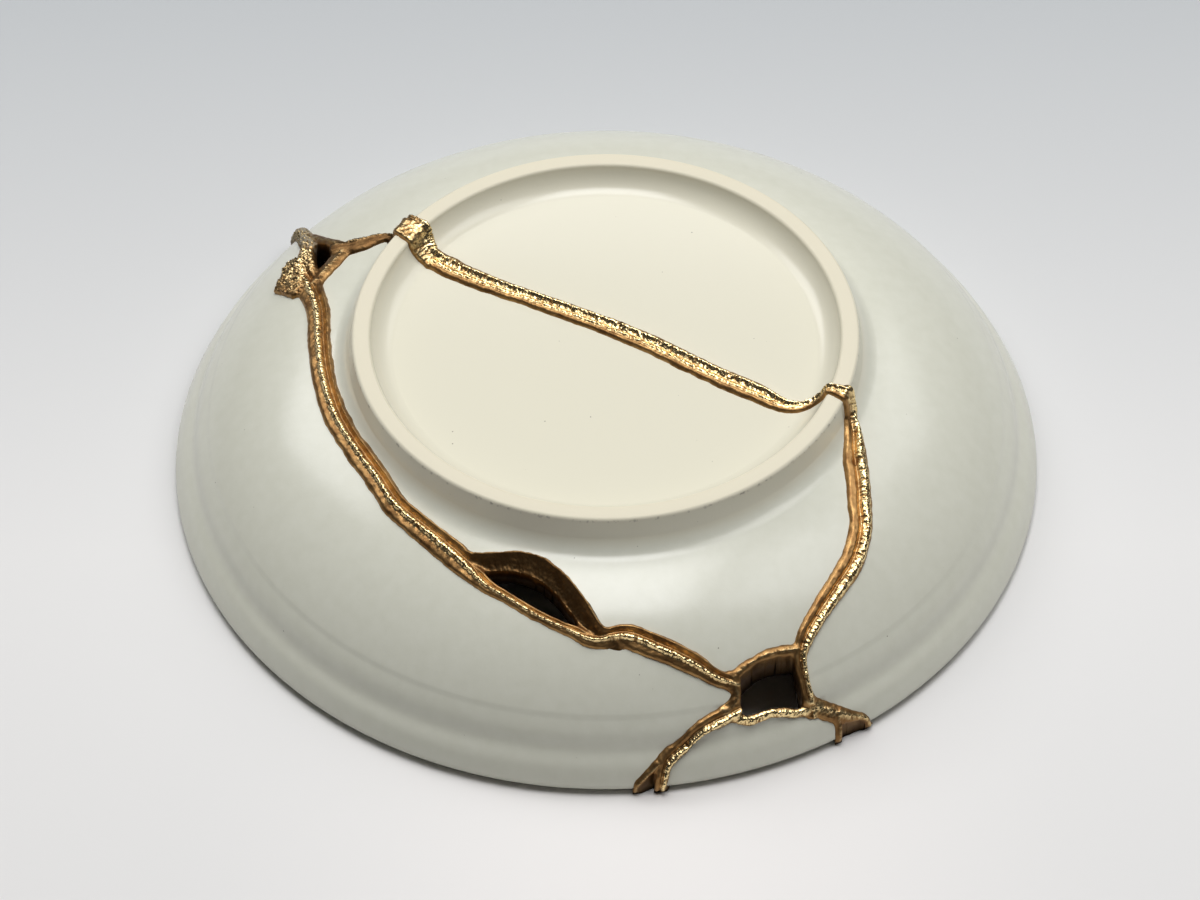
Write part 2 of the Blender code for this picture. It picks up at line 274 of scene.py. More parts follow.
# Across each style from its right edge at -1 to its left edge at 1: the share, the rise in mm, how crumpled
# it is and how deeply it folds
PROFILES = {
    SeamStyle.MIDDLE_CREST: (
        (-1.0, 0.5, 0.0, 0.0), (-0.7, 0.9, 0.0, 0.0), (-0.42, 1.0, 0.05, 0.0), (-0.26, 1.05, 0.6, 0.0),
        (-0.06, 1.6, 1.0, 0.15), (0.12, 1.5, 1.0, 0.15), (0.26, 0.5, 0.3, 0.0), (0.36, 0.25, 0.0, 0.0),
        (0.58, 0.7, 0.0, 0.0), (0.84, 1.15, 0.1, 0.0), (1.0, 0.6, 0.0, 0.0),
    ),
    SeamStyle.SIDE_CREST: (
        (-1.0, 0.5, 0.0, 0.0), (-0.72, 0.95, 0.0, 0.0), (-0.3, 0.9, 0.05, 0.0), (-0.02, 0.3, 0.3, 0.0),
        (0.14, 1.15, 0.8, 0.1), (0.4, 1.6, 1.0, 0.15), (0.66, 1.35, 1.0, 0.1), (0.84, 0.8, 0.2, 0.0),
        (1.0, 0.5, 0.0, 0.0),
    ),
    SeamStyle.TWIN_CREST: (
        (-1.0, 0.5, 0.0, 0.0), (-0.74, 1.0, 0.1, 0.0), (-0.52, 0.95, 0.4, 0.1), (-0.34, 1.25, 0.9, 0.2),
        (-0.05, 0.65, 0.6, 0.3), (0.2, 1.0, 0.8, 0.2), (0.44, 1.65, 1.0, 0.15), (0.64, 1.05, 0.4, 0.0),
        (1.0, 0.5, 0.0, 0.0),
    ),
    SeamStyle.STRAND: (
        (-1.0, 0.5, 0.0, 0.0), (-0.5, 0.95, 0.1, 0.0), (0.1, 1.2, 0.5, 0.0), (0.6, 0.9, 0.1, 0.0),
        (1.0, 0.5, 0.0, 0.0),
    ),
    SeamStyle.RAGGED: (
        (-1.0, 0.5, 0.1, 0.0), (-0.5, 1.0, 0.6, 0.1), (0.1, 1.25, 1.0, 0.2), (0.55, 1.2, 1.0, 0.2),
        (0.85, 0.7, 0.8, 0.0), (1.0, 0.3, 0.3, 0.0),
    ),
    SeamStyle.WORN: (
        (-1.0, 0.5, 0.0, 0.0), (-0.55, 0.95, 0.15, 0.0), (-0.1, 1.1, 0.5, 0.1), (0.25, 1.3, 0.7, 0.15),
        (0.6, 0.9, 0.2, 0.0), (1.0, 0.5, 0.0, 0.0),
    ),
    SeamStyle.BRANCH: (
        (-1.0, 0.5, 0.0, 0.0), (-0.6, 1.1, 0.0, 0.0), (0.0, 1.4, 0.1, 0.0), (0.3, 1.75, 0.8, 0.1),
        (0.5, 1.5, 0.5, 0.0), (0.72, -0.1, 0.0, 0.0), (1.0, 0.4, 0.0, 0.0),
    ),
    SeamStyle.HOOD: (
        (-1.0, -0.9, 0.2, 0.0), (-0.7, -0.7, 0.3, 0.1), (-0.3, -0.2, 0.2, 0.1), (0.2, 0.6, 0.2, 0.1),
        (0.62, 1.5, 0.2, 0.0), (0.84, 1.75, 0.3, 0.0), (1.0, 0.9, 0.1, 0.0),
    ),
    SeamStyle.BLOB: (
        (-1.0, 0.6, 0.1, 0.1), (-0.6, 1.1, 0.5, 0.25), (0.0, 1.2, 0.55, 0.3), (0.4, 1.5, 0.7, 0.4),
        (0.7, 2.3, 1.0, 0.8), (1.0, 1.0, 0.5, 0.2),
    ),
    SeamStyle.FIN: (
        (-1.0, 0.9, 0.2, 0.5), (-0.5, 1.6, 0.5, 1.1), (0.0, 2.1, 0.6, 1.4), (0.5, 2.7, 0.8, 1.5),
        (0.85, 2.9, 1.0, 1.2), (1.0, 1.4, 0.5, 0.5),
    ),
    SeamStyle.CRUMB: (
        (-1.0, 0.6, 0.4, 0.8), (-0.5, 1.5, 0.8, 1.8), (0.0, 1.8, 0.8, 2.0), (0.5, 1.4, 0.8, 1.8),
        (1.0, 0.6, 0.4, 0.8),
    ),
}
LAYERS = {"rise": 1, "crumple": 2, "fold": 3}
# How much painted shade each style gets: a shaded brown over the whole strand
PAINTED_STRAND_SHADE = {
    SeamStyle.BRANCH: 0.85,
    SeamStyle.HOOD: 0.75,
    SeamStyle.CRUMB: 0.4,
    SeamStyle.STRAND: 0.35,
    SeamStyle.FIN: 0.25,
    SeamStyle.WORN: 0.2,
}


@dataclass(frozen=True)
class Crack:
    """One stretch of the seam.

    Its points are across, away from the viewer and width: two in hundredths of the rim's radius, the third
    as a share of the seam's full width.
    """

    name: str
    style: SeamStyle
    points: tuple


@dataclass(frozen=True)
class Patch:
    """A pool of metal with an outline of its own.

    Its outline and the way its profile runs are across and away from the viewer, in hundredths of the rim's
    radius.
    """

    name: str
    style: SeamStyle
    outline: tuple
    towards: tuple


PATCHES = (
    Patch("fin", SeamStyle.FIN, (
        (-77.0, 28.0), (-72.5, 22.5), (-69.0, 22.5), (-67.0, 29.5), (-67.5, 37.0), (-69.5, 40.0),
        (-73.5, 36.0),
    ), (0.72, 0.69)),
    Patch("blob", SeamStyle.BLOB, (
        (-50.5, 36.6), (-46.4, 36.4), (-43.0, 34.8), (-40.4, 32.2), (-37.6, 29.0), (-36.4, 24.4),
        (-41.0, 24.6), (-45.2, 27.6), (-48.8, 31.8),
    ), (0.81, 0.59)),
)
CRACKS = (
    Crack("crumbs", SeamStyle.CRUMB, (
        (-75.4, 68.8, 0.60), (-73.0, 58.0, 0.70), (-71.0, 49.0, 0.80), (-70.0, 45.0, 0.80),
        (-69.5, 42.0, 0.60),
    )),
    Crack("left crack", SeamStyle.MIDDLE_CREST, (
        (-70.5, 42.5, 0.70), (-70.5, 37.5, 0.90), (-70.0, 30.0, 1.15), (-68.0, 23.0, 1.15),
        (-66.0, 15.0, 1.05), (-65.0, 3.0, 1.00), (-63.5, -7.5, 1.00), (-60.5, -18.5, 1.05),
        (-57.0, -26.0, 1.00), (-54.0, -31.5, 1.05), (-50.5, -37.5, 1.00), (-46.0, -45.5, 1.00),
        (-38.0, -54.0, 1.08), (-31.5, -60.5, 1.10), (-26.5, -66.0, 0.60), (-20.5, -70.0, 0.46),
        (-15.0, -73.5, 0.46), (-8.5, -76.5, 0.50), (-3.0, -78.5, 0.75), (4.0, -78.0, 1.00),
        (11.0, -80.0, 1.05), (17.5, -82.0, 0.95), (23.0, -84.0, 0.75), (27.0, -84.5, 0.55),
    )),
    Crack("slot hood", SeamStyle.HOOD, (
        (-34.0, -58.0, 0.60), (-29.5, -60.5, 0.72), (-24.5, -61.0, 0.74), (-18.5, -61.5, 0.86),
        (-14.0, -63.5, 0.88), (-10.0, -67.0, 0.84), (-6.0, -72.0, 0.80), (-2.5, -77.0, 0.80),
        (2.0, -79.0, 0.75),
    )),
    Crack("branch to foot", SeamStyle.BRANCH, (
        (-61.5, 36.5, 1.10), (-57.5, 36.5, 0.95), (-53.5, 37.5, 0.70), (-50.5, 37.5, 0.60),
        (-47.8, 35.0, 0.90), (-45.5, 33.0, 1.00),
    )),
    Crack("branch upper strand", SeamStyle.STRAND, (
        (-61.0, 37.5, 0.70), (-64.5, 41.5, 0.50), (-67.5, 45.0, 0.50), (-69.5, 48.0, 0.60),
    )),
    Crack("branch lower strand", SeamStyle.STRAND, (
        (-61.0, 35.5, 0.80), (-64.5, 30.0, 0.80), (-68.0, 25.0, 0.90),
    )),
    Crack("recess crack", SeamStyle.TWIN_CREST, (
        (-39.0, 27.0, 1.10), (-36.0, 24.8, 1.15), (-33.0, 22.7, 1.05), (-24.0, 17.8, 0.95),
        (-15.2, 13.5, 0.90), (1.0, 5.2, 0.98), (11.5, -1.1, 1.00), (24.0, -9.6, 1.00),
        (34.0, -15.6, 1.00), (40.0, -19.5, 0.70), (45.0, -19.6, 0.55), (49.5, -19.2, 0.60),
        (54.0, -21.2, 0.90),
    )),
    Crack("right crack", SeamStyle.SIDE_CREST, (
        (53.6, -20.4, 0.85), (54.8, -25.8, 0.90), (55.0, -32.5, 1.05), (55.5, -38.5, 1.10),
        (55.5, -44.0, 1.08), (55.5, -50.0, 1.02), (53.5, -57.0, 1.00), (49.5, -63.5, 0.95),
        (45.5, -69.5, 0.84), (42.5, -74.5, 0.80), (41.5, -78.0, 0.58), (42.5, -81.5, 0.50),
        (44.0, -85.0, 0.58),
    )),
    Crack("hole top", SeamStyle.STRAND, (
        (26.4, -84.4, 0.55), (27.8, -82.9, 0.42), (31.0, -80.5, 0.38), (35.0, -78.5, 0.38),
        (41.5, -76.5, 0.50),
    )),
    Crack("hole left", SeamStyle.STRAND, ((26.5, -84.0, 0.60), (27.5, -86.5, 0.48), (25.5, -89.0, 0.55))),
    Crack("hole bottom", SeamStyle.RAGGED, (
        (25.2, -89.2, 0.60), (30.0, -89.4, 0.44), (35.0, -87.5, 0.42), (40.5, -86.0, 0.44),
        (45.0, -84.0, 0.62),
    )),
    Crack("front crack", SeamStyle.SIDE_CREST, (
        (27.4, -88.4, 0.60), (24.9, -89.6, 0.74), (20.5, -91.5, 0.68), (16.0, -94.0, 0.68),
        (12.5, -96.5, 0.74), (11.0, -99.7, 0.56),
    )),
    Crack("front crack prong", SeamStyle.STRAND, (
        (13.0, -95.5, 0.45), (9.0, -98.0, 0.36), (5.6, -99.9, 0.30),
    )),
    Crack("right front crack", SeamStyle.WORN, (
        (43.5, -84.0, 0.74), (48.5, -84.0, 0.80), (52.0, -83.5, 0.62), (55.0, -82.5, 0.38),
        (57.6, -82.2, 0.32),
    )),
    Crack("right front prong", SeamStyle.STRAND, (
        (49.0, -83.6, 0.50), (50.1, -85.2, 0.42), (50.0, -87.4, 0.32),
    )),
)


def smooth_route(points: tuple, radius: float, width: float, step: float) -> np.ndarray:
    """Draw a smooth curve through a crack's points.

    Args:
        points: The crack's points.
        radius: The rim's radius in metres.
        width: The seam's full width in metres.
        step: The longest step between two points of the curve.

    Returns:
        Rows of x, y and half width, in metres.
    """
    scale = radius / 100
    knots = [np.array((x * scale, y * scale, share * width / 2)) for x, y, share in points]
    knots = [2 * knots[0] - knots[1]] + knots + [2 * knots[-1] - knots[-2]]
    curve = []
    for a, b, c, d in zip(knots, knots[1:], knots[2:], knots[3:]):
        pieces = max(2, math.ceil(float(np.linalg.norm(c - b)) / step))
        for piece in range(pieces):
            t = piece / pieces
            first = a * (-t + 2 * t**2 - t**3) + b * (2 - 5 * t**2 + 3 * t**3)
            second = c * (t + 4 * t**2 - 3 * t**3) + d * (-(t**2) + t**3)
            curve.append((first + second) / 2)
    curve.append(knots[-2])
    return np.array(curve)


def lattice_noise(points: np.ndarray, size: float, seed: int) -> np.ndarray:
    """Smooth noise from about -1 to 1 over a plane.

    Args:
        points: Rows of x and y in metres.
        size: The distance between the noise's own random values.
        seed: Which noise.

    Returns:
        One value for each point.
    """
    table = np.random.default_rng(seed).uniform(-1.0, 1.0, (256, 256))
    place = points / size + 1000.0
    cell = np.floor(place).astype(int)
    share = place - cell
    share = share * share * (3 - 2 * share)
    x, y = cell[:, 0] % 256, cell[:, 1] % 256
    x1, y1 = (x + 1) % 256, (y + 1) % 256
    low = table[x, y] * (1 - share[:, 0]) + table[x1, y] * share[:, 0]
    high = table[x, y1] * (1 - share[:, 0]) + table[x1, y1] * share[:, 0]
    return low * (1 - share[:, 1]) + high * share[:, 1]


class UnrolledFace:
    """The plate's upper face rolled out flat from its middle, so that lengths down its slopes stay true."""

    def __init__(self, form: PlateForm, step: float = 0.0001, bridge: float = 0.0008) -> None:
        """Measure the section.

        Args:
            form: The plate.
            step: How closely the section is sampled.
            bridge: How softly the metal's rise turns round the section's corners.
        """
        run = np.array(form.top_run() + [(form.rim_radius, form.lip / 3)])
        lengths = np.hypot(*np.diff(run, axis=0).T)
        reach = np.concatenate(([0.0], np.cumsum(lengths)))
        self.end = float(reach[-1])
        self.reach = np.append(np.arange(0.0, self.end, step), self.end)
        self.radius = np.interp(self.reach, reach, run[:, 0])
        self.height = np.interp(self.reach, reach, run[:, 1])
        across, along = -np.gradient(self.height, self.reach), np.gradient(self.radius, self.reach)
        spread = np.arange(-3 * bridge, 3 * bridge, step)
        kernel = np.exp(-((spread / bridge) ** 2) / 2)
        pad = len(kernel)
        across = np.convolve(np.pad(across, pad, mode="edge"), kernel, "same")[pad:-pad]
        along = np.convolve(np.pad(along, pad, mode="edge"), kernel, "same")[pad:-pad]
        size = np.hypot(across, along)
        self.lean = across / size
        self.lift = along / size
        below = np.array(form.lower_run())[::-1]
        held = below[below[:, 0] <= form.sole]
        self.low_radius = np.append(held[:, 0], form.rim_radius * 2)
        self.low_height = np.append(held[:, 1], 0.0)

    def flatten(self, plan: np.ndarray) -> np.ndarray:
        """Where points in plan lie on the unrolled face.

        Args:
            plan: Rows of x and y in plan.

        Returns:
            Rows of x and y on the face.
        """
        radius = np.maximum(np.hypot(plan[:, 0], plan[:, 1]), 1e-9)
        beyond = np.maximum(radius - self.radius[-1], 0.0)
        reach = np.interp(radius, self.radius, self.reach) + beyond
        return plan * (reach / radius)[:, None]

    def plan(self, flat: np.ndarray) -> np.ndarray:
        """Where points of the unrolled face lie in plan.

        Args:
            flat: Rows of x and y on the face.

        Returns:
            Rows of x and y in plan.
        """
        reach = np.maximum(np.hypot(flat[:, 0], flat[:, 1]), 1e-9)
        radius = np.interp(reach, self.reach, self.radius) + np.maximum(reach - self.end, 0.0)
        return flat * (radius / reach)[:, None]

    def lay(self, flat: np.ndarray, rise: np.ndarray) -> np.ndarray:
        """Lay points of the unrolled face back on the plate.

        Args:
            flat: Rows of x and y on the face.
            rise: How far each stands above the glaze.

        Returns:
            Rows of x, y and z.
        """
        reach = np.maximum(np.hypot(flat[:, 0], flat[:, 1]), 1e-9)
        radius = np.interp(reach, self.reach, self.radius)
        height = np.interp(reach, self.reach, self.height)
        out = radius + np.interp(reach, self.reach, self.lean) * rise
        up = height + np.interp(reach, self.reach, self.lift) * rise
        return np.column_stack((flat * (out / reach)[:, None], up))

    def under(self, flat: np.ndarray, rise: np.ndarray) -> np.ndarray:
        """Points on the lower face straight below, but none lower than the table.

        Args:
            flat: Rows of x and y on the unrolled face.
            rise: How far each stands under the wall.

        Returns:
            Rows of x, y and z.
        """
        reach = np.maximum(np.hypot(flat[:, 0], flat[:, 1]), 1e-9)
        radius = np.interp(reach, self.reach, self.radius)
        height = np.interp(radius, self.low_radius, self.low_height) - rise
        return np.column_stack((flat * (radius / reach)[:, None], np.maximum(height, 0.0)))


@dataclass
class SeamField:
    """The seam on a fine grid over the unrolled face: each place's distance to its edge, rise and crumple."""

    form: PlateForm
    face: UnrolledFace
    width: float = 0.0055
    spacing: float = 0.0002
    fillet: float = 0.0009
    blend: float = 0.00045
    margin: float = 0.0012
    edge_round: float = 0.00055
    route_step: float = 0.0004
    edge_wander: float = 0.00017
    wander_size: float = 0.0032
    edge_fray: float = 0.00005
    fray_size: float = 0.0010
    overhang: float = -0.0002
    inside_share: float = 0.6

    def __post_init__(self) -> None:
        """Lay out the grid and add each crack to it."""
        routes = []
        for crack in CRACKS:
            route = smooth_route(crack.points, self.form.rim_radius, self.width, self.route_step)
            routes.append(np.column_stack((self.face.flatten(route[:, :2]), route[:, 2])))
        every = np.vstack(routes)
        pad = self.width
        self.origin = every[:, :2].min(0) - pad
        self.shape = tuple(np.ceil((every[:, :2].max(0) + pad - self.origin) / self.spacing).astype(int))
        self.edge = np.full(self.shape, 1.0)
        self.nearest = np.full(self.shape, 1.0)
        self.weight = np.zeros(self.shape)
        self.layers = {name: np.zeros(self.shape) for name in (*LAYERS, "ash", "painted_strand_shade")}
        self.along = np.zeros(self.shape)
        self.across = np.zeros(self.shape)
        start = 0.0
        for crack, route in zip(CRACKS, routes):
            start = self.add(crack, route, start)
        for patch in PATCHES:
            self.add_patch(patch)
        held = self.weight > 0
        for layer in self.layers.values():
            layer[held] /= self.weight[held]
        flat = self.flat(np.indices(self.shape).reshape(2, -1).T)
        wander = self.edge_wander * lattice_noise(flat, self.wander_size, 11)
        wander += self.edge_fray * lattice_noise(flat, self.fray_size, 12)
        self.edge += wander.reshape(self.shape)
        self.beyond_rim = (np.hypot(flat[:, 0], flat[:, 1]) - self.face.end).reshape(self.shape)

    def flat(self, index: np.ndarray) -> np.ndarray:
        """Where grid places lie on the unrolled face, in metres."""
        return self.origin + index * self.spacing

    def flat_between(self, one: np.ndarray, other: np.ndarray, share: np.ndarray) -> np.ndarray:
        """Where places between two grid places lie on the unrolled face.

        Args:
            one: The number of each place's first grid place.
            other: The number of its second.
            share: Its share of the way.

        Returns:
            Rows of x and y, in metres.
        """
        columns = self.shape[1]
        first = np.column_stack((one // columns, one % columns)).astype(float)
        second = np.column_stack((other // columns, other % columns)).astype(float)
        return self.flat(first + (second - first) * share[:, None])

    def add(self, crack: Crack, route: np.ndarray, start: float) -> float:
        """Add one crack to the field.

        Args:
            crack: The crack.
            route: Its curve on the unrolled face, with its half width.
            start: How long all earlier cracks are together.

        Returns:
            How long they are with this one.
        """
        reach = float(route[:, 2].max()) + self.margin
        low = np.maximum(((route[:, :2].min(0) - reach - self.origin) / self.spacing).astype(int), 0)
        high = ((route[:, :2].max(0) + reach - self.origin) / self.spacing).astype(int) + 2
        high = np.minimum(high, self.shape)
        size = tuple(high - low)
        away, side, half, along = (np.full(size, value) for value in (1.0, 0.0, 1e-6, 0.0))
        travelled = start
        for one, other in zip(route, route[1:]):
            a, b = one[:2], other[:2]
            run = b - a
            length = float(np.hypot(*run))
            near = np.maximum(((np.minimum(a, b) - reach - self.origin) / self.spacing).astype(int) - low, 0)
            far = ((np.maximum(a, b) + reach - self.origin) / self.spacing).astype(int) + 2 - low
            far = np.minimum(far, size)
            window = (slice(near[0], far[0]), slice(near[1], far[1]))
            x = self.origin[0] + (np.arange(near[0], far[0]) + low[0])[:, None] * self.spacing - a[0]
            y = self.origin[1] + (np.arange(near[1], far[1]) + low[1])[None, :] * self.spacing - a[1]
            share = np.clip((x * run[0] + y * run[1]) / length**2, 0.0, 1.0)
            off_x, off_y = x - share * run[0], y - share * run[1]
            apart = np.hypot(off_x, off_y)
            closer = apart < away[window]
            away[window][closer] = apart[closer]
            turn = (run[0] * off_y - run[1] * off_x) / length
            side[window][closer] = turn[closer]
            half[window][closer] = (one[2] + (other[2] - one[2]) * share)[closer]
            along[window][closer] = (travelled + share * length)[closer]
            travelled += length
        narrow = np.sqrt(np.minimum(1.0, half / (self.width / 2)))
        window = (slice(low[0], high[0]), slice(low[1], high[1]))
        self.combine(crack.style, window, away - half, side / half, narrow, along, side)
        return travelled

    def add_patch(self, patch: Patch) -> None:
        """Add one patch to the field.

        Args:
            patch: The patch.
        """
        scale = self.form.rim_radius / 100
        outline = self.face.flatten(np.array(patch.outline) * scale)
        reach = self.margin
        low = ((outline.min(0) - reach - self.origin) / self.spacing).astype(int)
        high = ((outline.max(0) + reach - self.origin) / self.spacing).astype(int) + 2
        x = self.origin[0] + np.arange(low[0], high[0])[:, None] * self.spacing
        y = self.origin[1] + np.arange(low[1], high[1])[None, :] * self.spacing
        away = np.full((high[0] - low[0], high[1] - low[1]), 1.0)
        inside = np.zeros(away.shape, bool)
        for a, b in zip(outline, np.roll(outline, -1, axis=0)):
            run = b - a
            share = np.clip(((x - a[0]) * run[0] + (y - a[1]) * run[1]) / (run @ run), 0.0, 1.0)
            away = np.minimum(away, np.hypot(x - a[0] - share * run[0], y - a[1] - share * run[1]))
            if run[1] != 0:
                crossed = a[0] + (y - a[1]) / run[1] * run[0]
                inside ^= ((a[1] > y) != (b[1] > y)) & (x < crossed)
        own = np.where(inside, -away, away)
        way = np.array(patch.towards) / np.hypot(*patch.towards)
        reached = outline @ way
        middle, half = (reached.max() + reached.min()) / 2, (reached.max() - reached.min()) / 2
        side = x * way[0] + y * way[1] - middle
        window = (slice(low[0], high[0]), slice(low[1], high[1]))
        along = x * way[1] - y * way[0]
        self.combine(patch.style, window, own, side / half, np.ones(own.shape), along, side)

    def combine(
        self,
        style: SeamStyle,
        window: tuple,
        own: np.ndarray,
        share: np.ndarray,
        narrow: np.ndarray,
        along: np.ndarray,
        side: np.ndarray,
    ) -> None:
        """Blend one form's own field into the whole, with a fillet where it meets another.

        Args:
            style: How the form looks across its width.
            window: The part of the grid that it touches.
            own: How far each place is outside its edge.
            share: Where each place is across its width, from -1 to 1.
            narrow: How much lower it is where it is thin.
            along: How far along the form each place is.
            side: How far to its left each place is.
        """
        held = self.edge[window]
        mix = np.maximum(self.fillet - np.abs(held - own), 0.0) / self.fillet
        self.edge[window] = np.minimum(held, own) - mix**2 * self.fillet / 4
        share = np.clip(share, -1.0, 1.0)
        table = np.array(PROFILES[style])
        fine = np.linspace(-1.0, 1.0, 201)
        kernel = np.hanning(13) / np.hanning(13).sum()
        weight = np.where(own < self.margin, np.exp(-own / self.blend), 0.0)
        self.weight[window] += weight
        for name, column in LAYERS.items():
            curve = np.pad(np.interp(fine, table[:, 0], table[:, column]), len(kernel) // 2, mode="edge")
            value = np.interp(share, fine, np.convolve(curve, kernel, "valid"))
            self.layers[name][window] += weight * (value * narrow if name == "rise" else value)
        self.layers["ash"][window] += weight * (style is SeamStyle.CRUMB)
        # Painted shade: the share of the shaded brown that this style gets
        self.layers["painted_strand_shade"][window] += weight * PAINTED_STRAND_SHADE.get(style, 0.0)
        closer = own < self.nearest[window]
        self.nearest[window][closer] = own[closer]
        self.along[window][closer] = along[closer]
        self.across[window][closer] = side[closer]

    def outline(self, inset: float, overhang: float) -> np.ndarray:
        """The signed distance to the seam's edge, moved in by an inset and cut off beyond the rim."""
        return np.maximum(self.edge + inset, self.beyond_rim - overhang)


def contour_mesh(distance: np.ndarray) -> tuple[np.ndarray, np.ndarray, np.ndarray, list[list[int]]]:
    """Mesh the part of a grid where a signed distance is negative, with its edge on the zero line.

    Args:
        distance: The signed distance at each grid place.

    Returns:
        For each vertex the two grid places it lies between and its share of the way, and the faces.
    """
    inside = distance < 0
    columns = distance.shape[1]
    number = np.full(distance.size, -1)
    places = np.flatnonzero(inside.ravel())
    number[places] = np.arange(len(places))
    one, other, share = list(places), list(places), [0.0] * len(places)
    corner = inside.astype(int)
    count = corner[:-1, :-1] + corner[1:, :-1] + corner[1:, 1:] + corner[:-1, 1:]
    offsets = (0, columns, columns + 1, 1)
    full = np.argwhere(count == 4)
    base = full[:, 0] * columns + full[:, 1]
    faces = np.column_stack([number[base + offset] for offset in offsets]).tolist()
    values = distance.ravel()
    crossings: dict[tuple[int, int], int] = {}
    for i, j in np.argwhere((count > 0) & (count < 4)):
        corners = [i * columns + j + offset for offset in offsets]
        ring = []
        for a, b in zip(corners, corners[1:] + corners[:1]):
            if values[a] < 0:
                ring.append(int(number[a]))
            if (values[a] < 0) != (values[b] < 0):
                key = (min(a, b), max(a, b))
                if key not in crossings:
                    crossings[key] = len(one)
                    one.append(key[0])
                    other.append(key[1])
                    way = values[key[0]] / (values[key[0]] - values[key[1]])
                    share.append(float(np.clip(way, SLIVER, 1 - SLIVER)))
                ring.append(crossings[key])
        if len(ring) > 2:
            faces.append(ring)
    return np.array(one), np.array(other), np.array(share), faces


def edge_loop_steps(faces: list[list[int]]) -> list[tuple[int, int]]:
    """The directed edges that only one face has.

    Args:
        faces: The faces, as rings of vertex numbers.

    Returns:
        Each edge's two vertices, in the order in which its face goes round.
    """
    steps = {}
    for ring in faces:
        for a, b in zip(ring, ring[1:] + ring[:1]):
            steps[(a, b)] = True
    return [(a, b) for a, b in steps if (b, a) not in steps]


def closed_slab(
    name: str, top: np.ndarray, low: np.ndarray, faces: list[list[int]], rows: int
) -> bpy.types.Mesh:
    """Close a sheet into a solid with a lower face and a wall round its edge.

    Args:
        name: The mesh's name.
        top: The upper face's vertices.
        low: The lower face's vertices, in the same order.
        faces: The upper face's faces.
        rows: How many rows of faces the wall has.

    Returns:
        The solid's mesh.
    """
    count = len(top)
    steps = edge_loop_steps(faces)
    rim = sorted({a for a, _ in steps})
    place = {vertex: order for order, vertex in enumerate(rim)}
    levels = [top[rim] + (low[rim] - top[rim]) * (row / rows) ** 2 for row in range(1, rows)]
    vertices = np.vstack([top, low, *levels])
    whole = list(faces) + [[count + vertex for vertex in ring[::-1]] for ring in faces]

    def at(vertex: int, row: int) -> int:
        """Find a vertex of the wall.

        Args:
            vertex: The vertex of the upper face that the place lies under.
            row: The wall's row, counted down from the upper face.

        Returns:
            The number of the vertex there.
        """
        if row == 0:
            return vertex
        if row == rows:
            return count + vertex
        return 2 * count + (row - 1) * len(rim) + place[vertex]

    for a, b in steps:
        for row in range(rows):
            whole.append([at(b, row), at(a, row), at(a, row + 1), at(b, row + 1)])
    mesh = bpy.data.meshes.new(name)
    mesh.from_pydata(vertices.tolist(), [], whole)
    mesh.validate()
    return mesh


def new_object(name: str, mesh: bpy.types.Mesh) -> bpy.types.Object:
    """Put a mesh in the scene under a name.

    Args:
        name: The object's name.
        mesh: Its mesh.

    Returns:
        The object.
    """
    made = bpy.data.objects.new(name, mesh)
    bpy.context.scene.collection.objects.link(made)
    return made


def evaluated_mesh(made: bpy.types.Object) -> bpy.types.Mesh:
    """The plain mesh that an object's modifiers give."""
    graph = bpy.context.evaluated_depsgraph_get()
    return bpy.data.meshes.new_from_object(made.evaluated_get(graph))


def new_tree(
    name: str, inputs: dict[str, tuple[str, Any]]
) -> tuple[bpy.types.NodeTree, bpy.types.Node, dict]:
    """Start a Geometry Nodes tree with named inputs.

    Args:
        name: The tree's name.
        inputs: For each input its name, socket type and default value.

    Returns:
        The tree, its input node and the identifier of each named input.
    """
    tree = bpy.data.node_groups.new(name, "GeometryNodeTree")
    tree.interface.new_socket("Geometry", in_out="INPUT", socket_type="NodeSocketGeometry")
    identifiers = {}
    for label, (kind, value) in inputs.items():
        socket = tree.interface.new_socket(label, in_out="INPUT", socket_type=kind)
        if value is not None:
            socket.default_value = value
        identifiers[label] = socket.identifier
    tree.interface.new_socket("Geometry", in_out="OUTPUT", socket_type="NodeSocketGeometry")
    return tree, add_node(tree, "NodeGroupInput"), identifiers


def end_tree(tree: bpy.types.NodeTree, geometry: bpy.types.Node, material: bpy.types.NodeSocket) -> None:
    """End a tree in realised instances and a material.

    Args:
        tree: The tree.
        geometry: The node whose geometry it gives.
        material: The socket that the material comes from.
    """
    real = add_node(tree, "GeometryNodeRealizeInstances", {"Geometry": geometry})
    dressed = add_node(tree, "GeometryNodeSetMaterial", {"Geometry": real, "Material": material})
    add_node(tree, "NodeGroupOutput", {"Geometry": dressed})


def run_tree(
    made: bpy.types.Object, tree: bpy.types.NodeTree, identifiers: dict, values: dict
) -> bpy.types.Mesh:
    """Run a tree on an object and take the result as a plain mesh.

    Args:
        made: The object.
        tree: The tree.
        identifiers: The identifier of each named input.
        values: The value for each named input that gets one.

    Returns:
        The resulting mesh.
    """
    step = made.modifiers.new(tree.name, "NODES")
    step.node_group = tree
    for label, value in values.items():
        step[identifiers[label]] = value
    mesh = evaluated_mesh(made)
    made.modifiers.remove(step)
    return mesh


